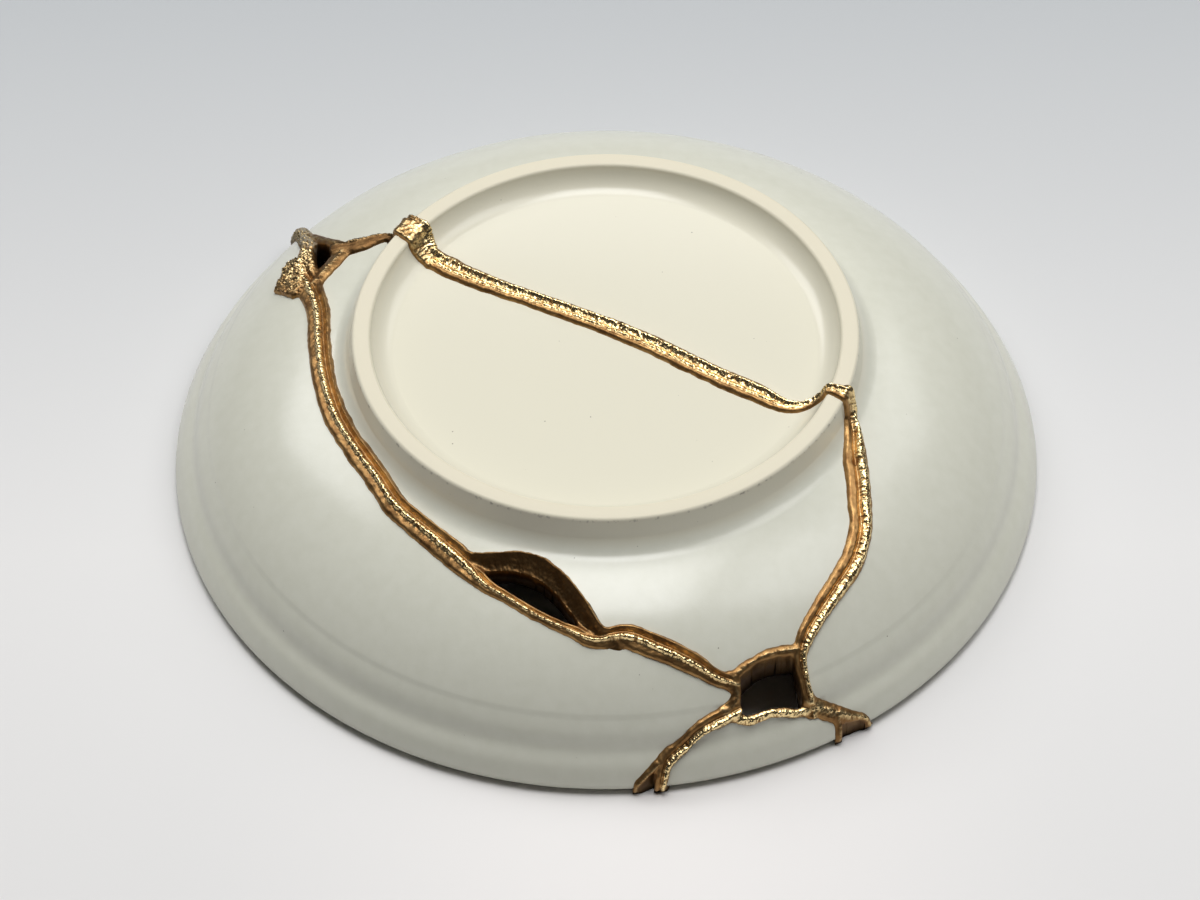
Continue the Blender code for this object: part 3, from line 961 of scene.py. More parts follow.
@dataclass(frozen=True)
class SatinGlaze:
    """Satin stoneware glaze, sprayed and fired: off-white with fine iron specks, and bare on the foot band."""

    pale: str = "#D9D9CC"
    deep: str = "#D0D0C1"
    thin: str = "#DFDBC8"
    bare_clay: str = "#DDD6C0"
    speck: str = "#6E675A"
    roughness: float = 0.22
    bare_roughness: float = 0.6
    mottle: float = 0.0030
    thin_fade: float = 0.0020
    bare_start: float = 0.0007
    bare_end: float = 0.00005
    speck_spacing: float = 0.0034
    speck_size: float = 0.055
    speck_edge: float = 0.02
    speck_strength: float = 0.85
    grit: float = 0.0013
    grit_inner: float = 0.00035
    grit_outer: float = 0.0001
    grit_low: float = 0.0013
    grit_high: float = 0.0009
    grit_strength: float = 0.5
    peel: float = 0.0007
    peel_depth: float = 0.00001

    def material(self, form: PlateForm) -> bpy.types.Material:
        """Build the glaze for a plate.

        Args:
            form: The plate, whose foot band stays bare.

        Returns:
            The material.
        """
        made = bpy.data.materials.new("satin_stoneware_glaze")
        made.use_nodes = True
        tree = made.node_tree
        shader = tree.nodes["Principled BSDF"]
        place = add_node(tree, "ShaderNodeTexCoord").outputs["Object"]
        height = add_node(tree, "ShaderNodeSeparateXYZ", {"Vector": place}).outputs["Z"]
        colour = self.speckled(tree, place, self.ground(tree, place, height, form))
        # A broken line of grit sticks where the glaze stops, round the foot's outer edge
        grit = self.grit_line(tree, place, height, form)
        colour = add_node(tree, "ShaderNodeMix", {
            0: grit, 6: colour, 7: linear(self.speck),
        }, data_type="RGBA")
        # The foot band is wiped bare of glaze before firing
        bare = add_node(tree, "ShaderNodeMapRange", {
            "Value": height, 1: form.height - self.bare_start, 2: form.height - self.bare_end,
        })
        colour = add_node(tree, "ShaderNodeMix", {
            0: bare, 6: colour.outputs[2], 7: linear(self.bare_clay),
        }, data_type="RGBA")
        rough = add_node(tree, "ShaderNodeMapRange", {
            "Value": bare, 3: self.roughness, 4: self.bare_roughness,
        })
        peel = add_node(tree, "ShaderNodeTexNoise", {
            "Vector": place, "Scale": 1 / self.peel, "Detail": 2.0,
        })
        bump = add_node(tree, "ShaderNodeBump", {
            "Height": peel, "Distance": self.peel_depth, "Strength": 1.0,
        })
        tree.links.new(colour.outputs[2], shader.inputs["Base Color"])
        tree.links.new(rough.outputs[0], shader.inputs["Roughness"])
        tree.links.new(bump.outputs["Normal"], shader.inputs["Normal"])
        return made

    def ground(
        self,
        tree: bpy.types.NodeTree,
        place: bpy.types.NodeSocket,
        height: bpy.types.NodeSocket,
        form: PlateForm,
    ) -> bpy.types.NodeSocket:
        """The glaze's own colour: mottled, and warmer inside the foot, where clay shows through.

        Args:
            tree: The material's tree.
            place: The place on the plate.
            height: Its height.
            form: The plate.

        Returns:
            The colour.
        """
        mottle = add_node(tree, "ShaderNodeTexNoise", {
            "Vector": place, "Scale": 1 / self.mottle, "Detail": 3.0,
        })
        mottled = add_node(tree, "ShaderNodeMix", {
            0: mottle, 6: linear(self.pale), 7: linear(self.deep),
        }, data_type="RGBA")
        floor = form.height - form.recess_depth
        thin = add_node(tree, "ShaderNodeMapRange", {"Value": height, 1: floor - self.thin_fade, 2: floor})
        return add_node(tree, "ShaderNodeMix", {
            0: thin, 6: mottled.outputs[2], 7: linear(self.thin),
        }, data_type="RGBA").outputs[2]

    def speckled(
        self, tree: bpy.types.NodeTree, place: bpy.types.NodeSocket, colour: bpy.types.NodeSocket
    ) -> bpy.types.NodeSocket:
        """Iron specks over a colour: few of the cells hold one, each of its own size.

        Args:
            tree: The material's tree.
            place: The place on the plate.
            colour: The colour under the specks.

        Returns:
            The colour with its specks.
        """
        cells = add_node(tree, "ShaderNodeTexVoronoi", {"Vector": place, "Scale": 1 / self.speck_spacing})
        lot = add_node(tree, "ShaderNodeSeparateColor", {"Color": cells.outputs["Color"]})
        size = add_node(tree, "ShaderNodeMapRange", {
            "Value": lot, 1: 0.55, 2: 1.0, 3: 0.0, 4: self.speck_size,
        })
        inside = add_node(tree, "ShaderNodeMath", {
            0: size, 1: cells.outputs["Distance"],
        }, operation="SUBTRACT")
        dark = add_node(tree, "ShaderNodeMapRange", {
            "Value": inside, 1: 0.0, 2: self.speck_edge, 3: 0.0, 4: self.speck_strength,
        })
        return add_node(tree, "ShaderNodeMix", {
            0: dark, 6: colour, 7: linear(self.speck),
        }, data_type="RGBA").outputs[2]

    def grit_line(
        self,
        tree: bpy.types.NodeTree,
        place: bpy.types.NodeSocket,
        height: bpy.types.NodeSocket,
        form: PlateForm,
    ) -> bpy.types.Node:
        """How much grit shows: only on the foot's outer edge, and only in patches.

        Args:
            tree: The material's tree.
            place: The place on the plate.
            height: Its height.
            form: The plate.

        Returns:
            The node that gives the share of grit.
        """
        flat = add_node(tree, "ShaderNodeVectorMath", {0: place, 1: (1.0, 1.0, 0.0)}, operation="MULTIPLY")
        radius = add_node(tree, "ShaderNodeVectorMath", {0: flat}, operation="LENGTH").outputs["Value"]
        outside = add_node(tree, "ShaderNodeMapRange", {
            "Value": radius, 1: form.foot_radius - self.grit_inner, 2: form.foot_radius - self.grit_outer,
        })
        above = add_node(tree, "ShaderNodeMapRange", {
            "Value": height, 1: form.height - self.grit_low, 2: form.height - self.grit_high,
        })
        edge = add_node(tree, "ShaderNodeMath", {0: outside, 1: above}, operation="MULTIPLY")
        broken = add_node(tree, "ShaderNodeTexNoise", {
            "Vector": place, "Scale": 1 / self.grit, "Detail": 4.0,
        })
        gritty = add_node(tree, "ShaderNodeMapRange", {
            "Value": broken, 1: 0.56, 2: 0.68, 3: 0.0, 4: self.grit_strength,
        })
        return add_node(tree, "ShaderNodeMath", {0: edge, 1: gritty}, operation="MULTIPLY")


@dataclass(frozen=True)
class CastGold:
    """Bronze-gold metal, left as cast: a painted highlight on its crumpled crests, browner and smoother at its
    edges, and painted shade in its hollows, pits and gaps and over some whole strands.
    """

    # The pale gold painted on the crumpled crests as a highlight
    crest_highlight: str = "#F8DDA4"
    gold: str = "#B48E5C"
    brown: str = "#8A663F"
    # The shaded brown painted over whole strands as shade
    strand_shade_brown: str = "#5A4127"
    # The near-black painted as shade in hollows, pits and the walls of the gaps
    dark: str = "#0C0704"
    ashen: str = "#8C8474"
    bright_roughness: float = 0.24
    flange_roughness: float = 0.42
    patina: float = 0.0032
    # How dark the painted shade in the wrinkle hollows gets
    painted_hollow_shade: float = 0.6
    clump: float = 0.0009
    grain: float = 0.00028
    grain_depth: float = 0.00003

    def material(self) -> bpy.types.Material:
        """Build the metal.

        Returns:
            The material.
        """
        made = bpy.data.materials.new("cast_bronze_gold")
        made.use_nodes = True
        tree = made.node_tree
        shader = tree.nodes["Principled BSDF"]
        place = add_node(tree, "ShaderNodeTexCoord").outputs["Object"]
        crumple, relief, pit, ash, painted_strand_shade, inner = (
            add_node(tree, "ShaderNodeAttribute", attribute_name=name).outputs["Fac"]
            for name in ("crumple", "relief", "pit", "ash", "painted_strand_shade", "inner")
        )
        tone = add_node(tree, "ShaderNodeTexNoise", {
            "Vector": place, "Scale": 1 / self.patina, "Detail": 5.0,
        })
        patina = add_node(tree, "ShaderNodeMapRange", {"Value": tone, 1: 0.35, 2: 0.65})
        # Painted highlight: the raised crests of the wrinkles get the pale highlight colour, and less
        # roughness
        raised = add_node(tree, "ShaderNodeMath", {0: crumple, 1: relief}, operation="MULTIPLY")
        crest_gloss_and_painted_highlight = add_node(tree, "ShaderNodeMapRange", {"Value": raised, 1: 0.15, 2: 0.6})
        # Painted shade: near-black in the hollows between the wrinkles and in the pits, and all over the walls
        # of the gaps
        hollow = add_node(tree, "ShaderNodeMath", {0: crumple, 1: raised}, operation="SUBTRACT")
        painted_hollow_shade = add_node(tree, "ShaderNodeMapRange", {"Value": hollow, 1: 0.5, 2: 1.0, 3: 0.0, 4: self.painted_hollow_shade})
        painted_hollow_and_pit_shade = add_node(tree, "ShaderNodeMath", {0: painted_hollow_shade, 1: pit}, operation="MAXIMUM")
        painted_shade_mask = add_node(tree, "ShaderNodeMath", {0: painted_hollow_and_pit_shade, 1: inner}, operation="MAXIMUM")
        # Ash from the casting clings to the crumbs in patches
        clumps = add_node(tree, "ShaderNodeTexNoise", {
            "Vector": place, "Scale": 1 / self.clump, "Detail": 3.0,
        })
        spread = add_node(tree, "ShaderNodeMapRange", {"Value": clumps, 1: 0.42, 2: 0.54})
        ashes = add_node(tree, "ShaderNodeMath", {0: ash, 1: spread}, operation="MULTIPLY")
        colour = linear(self.gold)
        # Over the gold: a random brown patina, the painted crest highlight, painted shade over whole strands,
        # painted shade in hollows, pits and gap walls, and ash
        for share, over in (
            (patina, self.brown),
            (crest_gloss_and_painted_highlight, self.crest_highlight),
            (painted_strand_shade, self.strand_shade_brown),
            (painted_shade_mask, self.dark),
            (ashes, self.ashen),
        ):
            colour = add_node(tree, "ShaderNodeMix", {
                0: share, 6: colour, 7: linear(over),
            }, data_type="RGBA").outputs[2]
        metal = add_node(tree, "ShaderNodeMapRange", {"Value": ashes, 3: 1.0, 4: 0.0})
        rough = add_node(tree, "ShaderNodeMapRange", {
            "Value": crest_gloss_and_painted_highlight, 3: self.flange_roughness, 4: self.bright_roughness,
        })
        matt = add_node(tree, "ShaderNodeMath", {0: ashes, 1: inner}, operation="MAXIMUM")
        rougher = add_node(tree, "ShaderNodeMath", {0: rough, 1: matt}, operation="MAXIMUM")
        grain = add_node(tree, "ShaderNodeTexNoise", {
            "Vector": place, "Scale": 1 / self.grain, "Detail": 3.0,
        })
        bump = add_node(tree, "ShaderNodeBump", {
            "Height": grain, "Distance": self.grain_depth, "Strength": 1.0,
        })
        tree.links.new(colour, shader.inputs["Base Color"])
        tree.links.new(metal.outputs[0], shader.inputs["Metallic"])
        tree.links.new(rougher.outputs[0], shader.inputs["Roughness"])
        tree.links.new(bump.outputs["Normal"], shader.inputs["Normal"])
        return made


@dataclass
class CastSeam:
    """The metal seam: a closed solid that fills the joints, proud of both faces."""

    seam: SeamField
    finish: CastGold = field(default_factory=CastGold)
    wall_rows: int = 5
    triangles: int = 190000
    crest_depth: float = 0.00042
    crest_size: float = 0.00085
    fold_depth: float = 0.0006
    fold_size: float = 0.0017
    flange_depth: float = 0.00012
    flange_size: float = 0.0022
    pit_depth: float = 0.00035
    pit_size: float = 0.0011
    pit_reach: float = 0.34
    pit_edge: float = 0.16
    stretch: float = 0.4
    crest_reach: float = 0.18
    fold_reach: float = 0.2
    seed: float = 3.0

    def base_mesh(self) -> tuple[bpy.types.Mesh, int]:
        """Build the smooth solid, with what the crumple needs to know stored on its vertices.

        Returns:
            The mesh and how many vertices its upper face has, which come first.
        """
        own = self.seam
        distance = own.outline(0.0, own.overhang)
        one, other, share, faces = contour_mesh(distance)

        def between(values: np.ndarray) -> np.ndarray:
            """A grid's values at the vertices."""
            spread = values.ravel()
            return spread[one] + (spread[other] - spread[one]) * share

        flat = own.flat_between(one, other, share)
        depth = np.clip(-between(distance) / own.edge_round, 0.0, 1.0)
        rounding = np.sqrt(1 - (1 - depth) ** 2)
        rise = between(own.layers["rise"]) * MM
        rise = np.maximum(rise, 0.0) * rounding + np.minimum(rise, 0.0)
        top = own.face.lay(flat, rise)
        low = own.face.under(flat, own.inside_share * np.clip(rise, 0.0, 1.4 * MM))
        mesh = closed_slab("seam base", top, low, faces, self.wall_rows)
        count = len(mesh.vertices)
        for name, values in (
            ("crumple", between(own.layers["crumple"]) * rounding),
            ("fold", between(own.layers["fold"]) * rounding),
            ("ash", between(own.layers["ash"])),
            ("painted_strand_shade", between(own.layers["painted_strand_shade"])),
            ("along", between(own.along)),
            ("across", between(own.across)),
        ):
            stored = np.zeros(count, np.float32)
            stored[: len(values)] = values
            mesh.attributes.new(name, "FLOAT", "POINT").data.foreach_set("value", stored)
        # Every vertex off the upper face, on the walls and underside, gets painted shade in the metal's
        # material
        inner = np.zeros(count, np.float32)
        inner[len(top) :] = 1.0
        mesh.attributes.new("inner", "FLOAT", "POINT").data.foreach_set("value", inner)
        return mesh, len(top)

    def lighten_underside(self, made: bpy.types.Object, first: int) -> None:
        """Take triangles from the side that lies inside the bowl, where the metal is plain.

        Args:
            made: The seam's object.
            first: The number of its first vertex that isn't on the upper face.
        """
        group = made.vertex_groups.new(name="underside")
        group.add(list(range(first, len(made.data.vertices))), 1.0, "REPLACE")
        made.data.calc_loop_triangles()
        fewer = made.modifiers.new("lighten", "DECIMATE")
        fewer.ratio = min(1.0, self.triangles / len(made.data.loop_triangles))
        fewer.vertex_group = group.name
        fewer.vertex_group_factor = 1000.0
        made.data = evaluated_mesh(made)
        made.modifiers.remove(fewer)
        made.vertex_groups.clear()

    def crumple_tree(self) -> tuple[bpy.types.NodeTree, dict]:
        """Build the tree that wrinkles the crests, folds the fin and pits the metal.

        Returns:
            The tree, and its inputs' identifiers by name.
        """
        tree, given, names = new_tree("crumpled seam", {
            "Crest Depth": ("NodeSocketFloat", self.crest_depth),
            "Crest Size": ("NodeSocketFloat", self.crest_size),
            "Fold Depth": ("NodeSocketFloat", self.fold_depth),
            "Fold Size": ("NodeSocketFloat", self.fold_size),
            "Flange Depth": ("NodeSocketFloat", self.flange_depth),
            "Flange Size": ("NodeSocketFloat", self.flange_size),
            "Pit Depth": ("NodeSocketFloat", self.pit_depth),
            "Pit Size": ("NodeSocketFloat", self.pit_size),
            "Seed": ("NodeSocketFloat", self.seed),
            "Metal": ("NodeSocketMaterial", None),
        })

        along, across, crumple, fold = (
            add_node(tree, "GeometryNodeInputNamedAttribute", {"Name": name}, data_type="FLOAT")
            for name in ("along", "across", "crumple", "fold")
        )
        crest_scale, fold_scale, flange_scale, pit_scale = (
            add_node(tree, "ShaderNodeMath", {0: 1.0, 1: given.outputs[name]}, operation="DIVIDE")
            for name in ("Crest Size", "Fold Size", "Flange Size", "Pit Size")
        )
        # Wrinkles lie across the seam, so the noise is stretched that way
        stretched = add_node(tree, "ShaderNodeMath", {0: across, 1: self.stretch}, operation="MULTIPLY")
        path = add_node(tree, "ShaderNodeCombineXYZ", {0: along, 1: stretched, 2: given.outputs["Seed"]})
        wrinkles = add_node(tree, "ShaderNodeTexNoise", {
            "Vector": path, "Scale": crest_scale, "Detail": 2.5, "Roughness": 0.6, "Distortion": 0.6,
        })
        place = add_node(tree, "GeometryNodeInputPosition")
        folds = add_node(tree, "ShaderNodeTexNoise", {
            "Vector": place, "Scale": fold_scale, "Detail": 1.5, "Distortion": 1.2,
        })
        # Where a noise crosses its middle there is a sharp ridge
        ridges = []
        for noise, reach in ((wrinkles, self.crest_reach), (folds, self.fold_reach)):
            centred = add_node(tree, "ShaderNodeMath", {0: noise, 1: 0.5}, operation="SUBTRACT")
            ridge = add_node(tree, "ShaderNodeMath", {0: centred}, operation="ABSOLUTE")
            ridges.append(add_node(tree, "ShaderNodeMapRange", {
                "Value": ridge, 1: 0.0, 2: reach, 3: 1.0, 4: 0.0,
            }))
        relief, folded = ridges
        pitted = self.pits(tree, place, pit_scale, crumple)
        # Each layer's height above or below the smooth metal, and what limits it
        swell = add_node(tree, "ShaderNodeTexNoise", {
            "Vector": place, "Scale": flange_scale, "Detail": 2.0,
        })
        swells = add_node(tree, "ShaderNodeMath", {
            0: given.outputs["Flange Depth"], 1: 4.0,
        }, operation="MULTIPLY")
        crests = add_node(tree, "ShaderNodeMath", {
            0: crumple, 1: given.outputs["Crest Depth"],
        }, operation="MULTIPLY")
        creases = add_node(tree, "ShaderNodeMath", {
            0: fold, 1: given.outputs["Fold Depth"],
        }, operation="MULTIPLY")
        dent = add_node(tree, "ShaderNodeMath", {
            0: pitted, 1: given.outputs["Pit Depth"],
        }, operation="MULTIPLY")
        height = add_node(tree, "ShaderNodeMath", {0: dent, 1: -1.0}, operation="MULTIPLY")
        for layer, middle, depth in ((relief, 0.55, crests), (folded, 0.5, creases), (swell, 0.5, swells)):
            centred = add_node(tree, "ShaderNodeMath", {0: layer, 1: middle}, operation="SUBTRACT")
            height = add_node(tree, "ShaderNodeMath", {
                0: centred, 1: depth, 2: height,
            }, operation="MULTIPLY_ADD")
        normal = add_node(tree, "GeometryNodeInputNormal")
        push = add_node(tree, "ShaderNodeVectorMath", {0: normal, "Scale": height}, operation="SCALE")
        shape = given.outputs["Geometry"]
        for name, value in (("relief", relief), ("pit", pitted)):
            shape = add_node(tree, "GeometryNodeStoreNamedAttribute", {
                "Geometry": shape, "Name": name, "Value": value,
            }, data_type="FLOAT", domain="POINT")
        moved = add_node(tree, "GeometryNodeSetPosition", {"Geometry": shape, "Offset": push})
        smooth = add_node(tree, "GeometryNodeSetShadeSmooth", {"Geometry": moved})
        end_tree(tree, smooth, given.outputs["Metal"])
        return tree, names

    def pits(
        self, tree: bpy.types.NodeTree, place: bpy.types.Node, scale: bpy.types.Node, crumple: bpy.types.Node
    ) -> bpy.types.Node:
        """How deep in a pit each place is: some of the cells on the crumpled parts hold one.

        Args:
            tree: The tree.
            place: The place on the seam.
            scale: How many cells lie in a metre.
            crumple: How crumpled the place is.

        Returns:
            The node that gives the depth, from 0 to 1.
        """
        cells = add_node(tree, "ShaderNodeTexVoronoi", {"Vector": place, "Scale": scale})
        lot = add_node(tree, "ShaderNodeSeparateXYZ", {"Vector": cells.outputs["Color"]})
        reach = add_node(tree, "ShaderNodeMapRange", {
            "Value": lot, 1: 0.6, 2: 1.0, 3: 0.0, 4: self.pit_reach,
        })
        inside = add_node(tree, "ShaderNodeMath", {
            0: reach, 1: cells.outputs["Distance"],
        }, operation="SUBTRACT")
        hollow = add_node(tree, "ShaderNodeMapRange", {"Value": inside, 1: 0.0, 2: self.pit_edge})
        held = add_node(tree, "ShaderNodeMath", {0: crumple, 1: 1.0}, operation="MINIMUM")
        return add_node(tree, "ShaderNodeMath", {0: hollow, 1: held}, operation="MULTIPLY")

    def build(self) -> bpy.types.Object:
        """Build the seam and dress it.

        Returns:
            The seam's object.
        """
        data, first = self.base_mesh()
        base = new_object("seam base", data)
        self.lighten_underside(base, first)
        tree, names = self.crumple_tree()
        mesh = run_tree(base, tree, names, {"Metal": self.finish.material()})
        bpy.data.objects.remove(base)
        for vertex in mesh.vertices:
            vertex.co.z = max(vertex.co.z, 0.0)
        made = new_object("cast_seam", mesh)
        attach(made, "root")
        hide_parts("metal_seam")
        return made


@dataclass
class TurnedShards:
    """The ceramic: one turned plate, parted along the seam into its shards."""

    form: PlateForm
    seam: SeamField
    finish: SatinGlaze = field(default_factory=SatinGlaze)
    turn_steps: int = 300
    sunk: float = 0.00015
    past_rim: float = 6 * MM
    merge: float = 0.00001
    sharp_angle: float = 35.0
    spots: dict = field(default_factory=lambda: {
        "back_shard": (10.0, 75.0),
        "middle_shard": (10.0, -50.0),
        "left_rim_shard": (-60.0, -65.0),
        "front_rim_shard": (33.0, -92.0),
    })

    def turning_tree(self) -> tuple[bpy.types.NodeTree, dict]:
        """Build the tree that turns a section about the upright axis.

        Returns:
            The tree, and its inputs' identifiers by name.
        """
        tree, given, names = new_tree("turned plate", {
            "Turn Steps": ("NodeSocketInt", self.turn_steps),
            "Section Points": ("NodeSocketInt", 2),
            "Merge Distance": ("NodeSocketFloat", self.merge),
            "Glaze": ("NodeSocketMaterial", None),
        })
        rows = add_node(tree, "ShaderNodeMath", {0: given.outputs["Turn Steps"], 1: 1.0}, operation="ADD")
        grid = add_node(tree, "GeometryNodeMeshGrid", {
            "Vertices X": given.outputs["Section Points"], "Vertices Y": rows,
        })
        # The grid's columns are the section's points, and its rows the steps of the turn
        index = add_node(tree, "GeometryNodeInputIndex")
        middle = add_node(tree, "ShaderNodeMath", {0: index, 1: 0.5}, operation="ADD")
        ratio = add_node(tree, "ShaderNodeMath", {0: middle, 1: rows}, operation="DIVIDE")
        point = add_node(tree, "ShaderNodeMath", {0: ratio}, operation="FLOOR")
        turn = add_node(tree, "ShaderNodeMath", {0: index, 1: rows}, operation="MODULO")
        share = add_node(tree, "ShaderNodeMath", {
            0: turn, 1: given.outputs["Turn Steps"],
        }, operation="DIVIDE")
        angle = add_node(tree, "ShaderNodeMath", {0: share, 1: 2 * math.pi}, operation="MULTIPLY")
        place = add_node(tree, "GeometryNodeInputPosition")
        section = add_node(tree, "GeometryNodeSampleIndex", {
            "Geometry": given.outputs["Geometry"], "Index": point,
        }, data_type="FLOAT_VECTOR", domain="POINT")
        tree.links.new(place.outputs[0], section.inputs["Value"])
        spread = add_node(tree, "ShaderNodeSeparateXYZ", {0: section})
        cosine = add_node(tree, "ShaderNodeMath", {0: angle}, operation="COSINE")
        sine = add_node(tree, "ShaderNodeMath", {0: angle}, operation="SINE")
        x = add_node(tree, "ShaderNodeMath", {0: spread, 1: cosine}, operation="MULTIPLY")
        y = add_node(tree, "ShaderNodeMath", {0: spread, 1: sine}, operation="MULTIPLY")
        spot = add_node(tree, "ShaderNodeCombineXYZ", {0: x, 1: y, 2: spread.outputs[2]})
        laid = add_node(tree, "GeometryNodeSetPosition", {"Geometry": grid, "Position": spot})
        merged = add_node(tree, "GeometryNodeMergeByDistance", {
            "Geometry": laid, "Distance": given.outputs["Merge Distance"],
        })
        end_tree(tree, merged, given.outputs["Glaze"])
        return tree, names

    def whole_plate(self, glaze: bpy.types.Material) -> bpy.types.Object:
        """Turn the plate as it was before it broke.

        Args:
            glaze: Its material.

        Returns:
            The plate's object.
        """
        top, lower = self.form.top_run(), self.form.lower_run()
        run = top + lower[1:]
        data = bpy.data.meshes.new("section")
        data.from_pydata([(radius, 0.0, height) for radius, height in run], [], [])
        section = new_object("section", data)
        tree, names = self.turning_tree()
        mesh = run_tree(section, tree, names, {"Section Points": len(run), "Glaze": glaze})
        bpy.data.objects.remove(section)
        shape = bmesh.new()
        shape.from_mesh(mesh)
        bmesh.ops.recalc_face_normals(shape, faces=shape.faces)
        shape.to_mesh(mesh)
        shape.free()
        return new_object("whole plate", mesh)

    def cutter(self) -> bpy.types.Object:
        """The upright slab that parts the plate along the seam.

        Returns:
            The slab's object.
        """
        one, other, share, faces = contour_mesh(self.seam.outline(self.sunk, self.past_rim))
        plan = self.seam.face.plan(self.seam.flat_between(one, other, share))
        top = np.column_stack((plan, np.full(len(plan), self.form.height + self.form.wall)))
        low = np.column_stack((plan, np.full(len(plan), -self.form.wall)))
        return new_object("parting slab", closed_slab("parting slab", top, low, faces, 1))

    def build(self) -> list[bpy.types.Object]:
        """Build the shards and dress them.

        Returns:
            The shards' objects.
        """
        glaze = self.finish.material(self.form)
        plate = self.whole_plate(glaze)
        slab = self.cutter()
        step = plate.modifiers.new("parting", "BOOLEAN")
        step.operation = "DIFFERENCE"
        step.solver = "MANIFOLD"
        step.object = slab
        broken = evaluated_mesh(plate)
        bpy.data.objects.remove(plate)
        bpy.data.objects.remove(slab)
        shards = []
        for name, spot in self.spots.items():
            mesh = self.piece_round(broken, [share * self.form.rim_radius / 100 for share in spot])
            mesh.name = name
            mesh.materials.clear()
            mesh.materials.append(glaze)
            mesh.shade_smooth()
            mesh.set_sharp_from_angle(angle=math.radians(self.sharp_angle))
            made = new_object("glazed_" + name, mesh)
            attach(made, "root")
            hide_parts(name)
            shards.append(made)
            LOG.info("%s: %d faces", made.name, len(mesh.polygons))
        return shards

    def piece_round(self, broken: bpy.types.Mesh, spot: list[float]) -> bpy.types.Mesh:
        """Take the one piece of the broken plate that lies round a spot.

        Args:
            broken: The parted plate.
            spot: A place in plan.

        Returns:
            The piece's mesh.
        """
        shape = bmesh.new()
        shape.from_mesh(broken)
        nearest = min(shape.verts, key=lambda vert: math.dist(vert.co[:2], spot))
        held, waiting = {nearest}, [nearest]
        while waiting:
            for edge in waiting.pop().link_edges:
                for vert in edge.verts:
                    if vert not in held:
                        held.add(vert)
                        waiting.append(vert)
        bmesh.ops.delete(shape, geom=[vert for vert in shape.verts if vert not in held], context="VERTS")
        mesh = bpy.data.meshes.new("shard")
        shape.to_mesh(mesh)
        shape.free()
        return mesh


@dataclass(frozen=True)
class StudioSweep:
    """Pale matt paper under the plate, with painted shade greying it towards its far edge and a painted pool
    of light in front of the plate.
    """

    colour: str = "#DEDDDC"
    # The grey painted as shade towards the paper's far edge
    far: str = "#B1B5B8"
    near: str = "#E9E6E4"
    # The pale tone of a painted pool of light in front of the plate
    roughness: float = 0.7
    paper_shade_start: float = -0.03
    paper_shade_end: float = 0.19
    # Where the painted pool of light is centred, and how far it reaches
    pool: tuple[float, float, float] = (0.01, -0.13, 0.0)
    painted_light_pool_reach: float = 0.11

    def material(self) -> bpy.types.Material:
        """Build the paper.

        Returns:
            The material.
        """
        made = bpy.data.materials.new("matt_paper")
        made.use_nodes = True
        shader = made.node_tree.nodes["Principled BSDF"]
        tree = made.node_tree
        place = add_node(tree, "ShaderNodeTexCoord").outputs["Object"]
        # Painted shade: the paper greys towards its far edge
        away = add_node(tree, "ShaderNodeSeparateXYZ", {"Vector": place}).outputs["Y"]
        painted_paper_shade = add_node(tree, "ShaderNodeMapRange", {"Value": away, 1: self.paper_shade_start, 2: self.paper_shade_end})
        paper_with_painted_shade = add_node(tree, "ShaderNodeMix", {
            0: painted_paper_shade, 6: linear(self.colour), 7: linear(self.far),
        }, data_type="RGBA")
        # Painted light: a pale pool on the paper in front of the plate
        apart = add_node(tree, "ShaderNodeVectorMath", {0: place, 1: self.pool}, operation="DISTANCE")
        pale = add_node(tree, "ShaderNodeMapRange", {
            "Value": apart.outputs["Value"], 1: self.painted_light_pool_reach, 2: 0.0,
        }, interpolation_type="SMOOTHSTEP")
        colour = add_node(tree, "ShaderNodeMix", {
            0: pale, 6: paper_with_painted_shade.outputs[2], 7: linear(self.near),
        }, data_type="RGBA")
        tree.links.new(colour.outputs[2], shader.inputs["Base Color"])
        shader.inputs["Roughness"].default_value = self.roughness
        return made


@dataclass(frozen=True)
class Softbox:
    """A soft square light that faces the plate: where it hangs, in metres, and its power in watts."""

    name: str
    place: tuple[float, float, float]
    power: float
    size: float = 0.7


SOFTBOXES = (
    Softbox("softbox above", (0.0, 0.0, 1.6), 12.4),
    Softbox("softbox behind", (0.0, 0.68, 1.45), 4.5),
    Softbox("softbox behind on the left", (-0.8, 0.8, 1.13), 6.8),
    Softbox("softbox behind on the right", (0.8, 0.8, 1.13), 3.5),
    Softbox("softbox on the right", (0.8, 0.0, 1.38), 5.2),
)


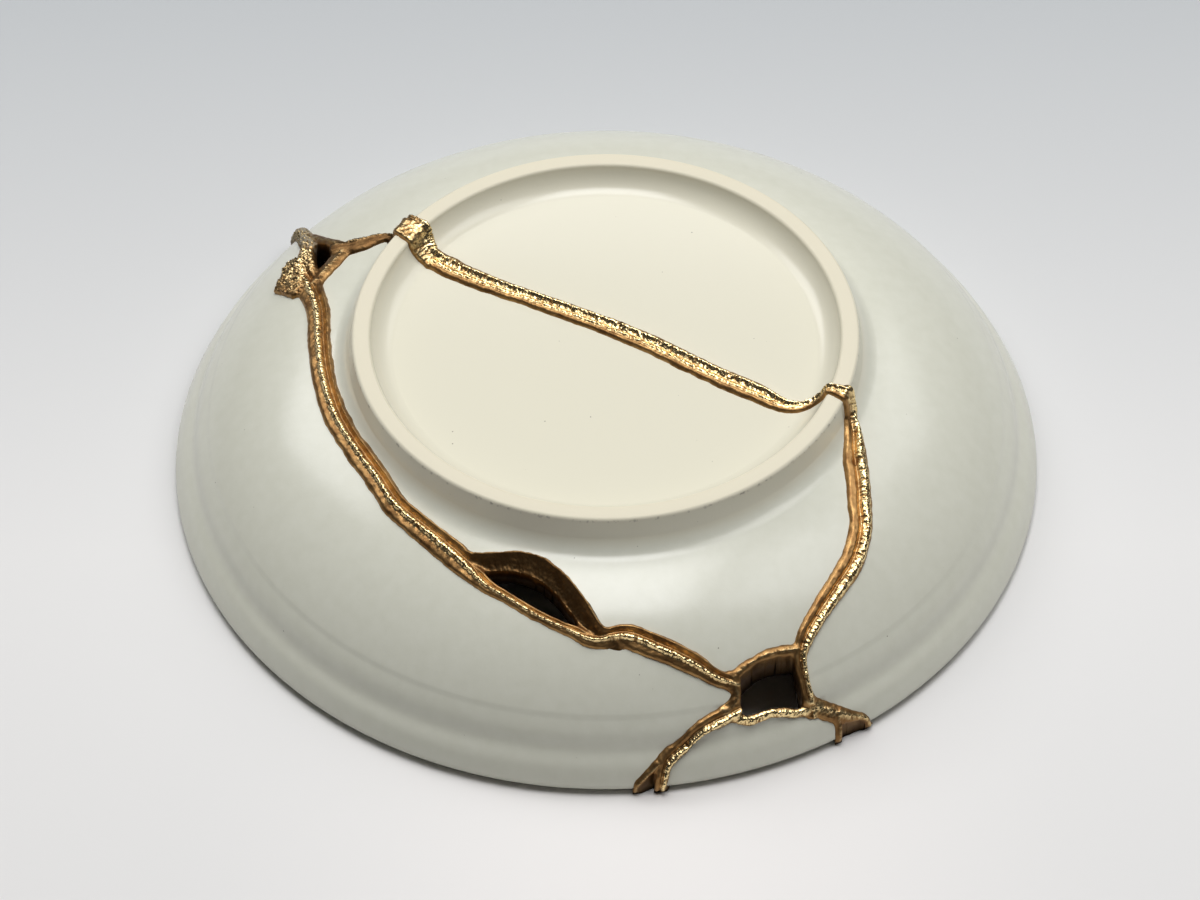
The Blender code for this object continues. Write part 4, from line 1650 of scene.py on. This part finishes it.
@dataclass
class Studio:
    """The floor, the lights and the camera."""

    focal_length: float = 114.6
    elevation: float = 47.96
    distance: float = 0.892
    aim: tuple[float, float] = (-0.001414, 0.00025)
    roll: float = -0.39
    floor_size: float = 6.0
    floor_drop: float = 0.0001
    ambient: str = "#EDEEF2"
    ambient_strength: float = 0.03

    def camera(self) -> None:
        """Set the camera at the photograph's viewing angle."""
        rise = math.radians(self.elevation)
        back = Vector((0.0, -math.cos(rise), math.sin(rise)))
        lens = bpy.data.cameras.new("camera")
        lens.lens = self.focal_length
        lens.sensor_width = 36.0
        lens.clip_start = 0.05
        made = bpy.data.objects.new("camera", lens)
        bpy.context.scene.collection.objects.link(made)
        right = Vector((1.0, 0.0, 0.0))
        up = back.cross(right)
        turn = math.radians(self.roll)
        leaned = right * math.cos(turn) + up * math.sin(turn)
        upright = up * math.cos(turn) - right * math.sin(turn)
        made.matrix_world = Matrix((leaned, upright, back)).transposed().to_4x4()
        made.location = Vector((*self.aim, 0.0)) + back * self.distance
        bpy.context.scene.camera = made

    def hang(self, box: Softbox) -> None:
        """Hang a light so that it faces the plate.

        Args:
            box: The light's box.
        """
        data = bpy.data.lights.new(box.name, "AREA")
        data.shape = "SQUARE"
        data.size = box.size
        data.energy = box.power
        made = bpy.data.objects.new(box.name, data)
        made.location = box.place
        made.rotation_mode = "QUATERNION"
        made.rotation_quaternion = Vector(box.place).to_track_quat("Z", "Y")
        bpy.context.scene.collection.objects.link(made)

    def build(self) -> None:
        """Lay the floor, hang the lights and set the camera."""
        half = self.floor_size / 2
        data = bpy.data.meshes.new("floor")
        corners = [(x * half, y * half, -self.floor_drop) for x, y in ((-1, -1), (1, -1), (1, 1), (-1, 1))]
        data.from_pydata(corners, [], [(0, 1, 2, 3)])
        data.materials.append(StudioSweep().material())
        new_object("floor", data)
        for box in SOFTBOXES:
            self.hang(box)
        world = bpy.data.worlds.new("studio")
        world.use_nodes = True
        background = world.node_tree.nodes["Background"]
        background.inputs["Color"].default_value = linear(self.ambient)
        background.inputs["Strength"].default_value = self.ambient_strength
        bpy.context.scene.world = world
        bpy.context.scene.view_settings.view_transform = "Standard"
        self.camera()


def main() -> None:
    """Build the plate's looks."""
    logging.basicConfig(level=logging.INFO, format="%(name)s: %(message)s")
    form = PlateForm()
    seam = SeamField(form, UnrolledFace(form))
    LOG.info("seam field: %s places", seam.shape)
    TurnedShards(form, seam).build()
    cast = CastSeam(seam).build()
    LOG.info("%s: %d faces", cast.name, len(cast.data.polygons))
    Studio().build()


if __name__ == "__main__":
    main()
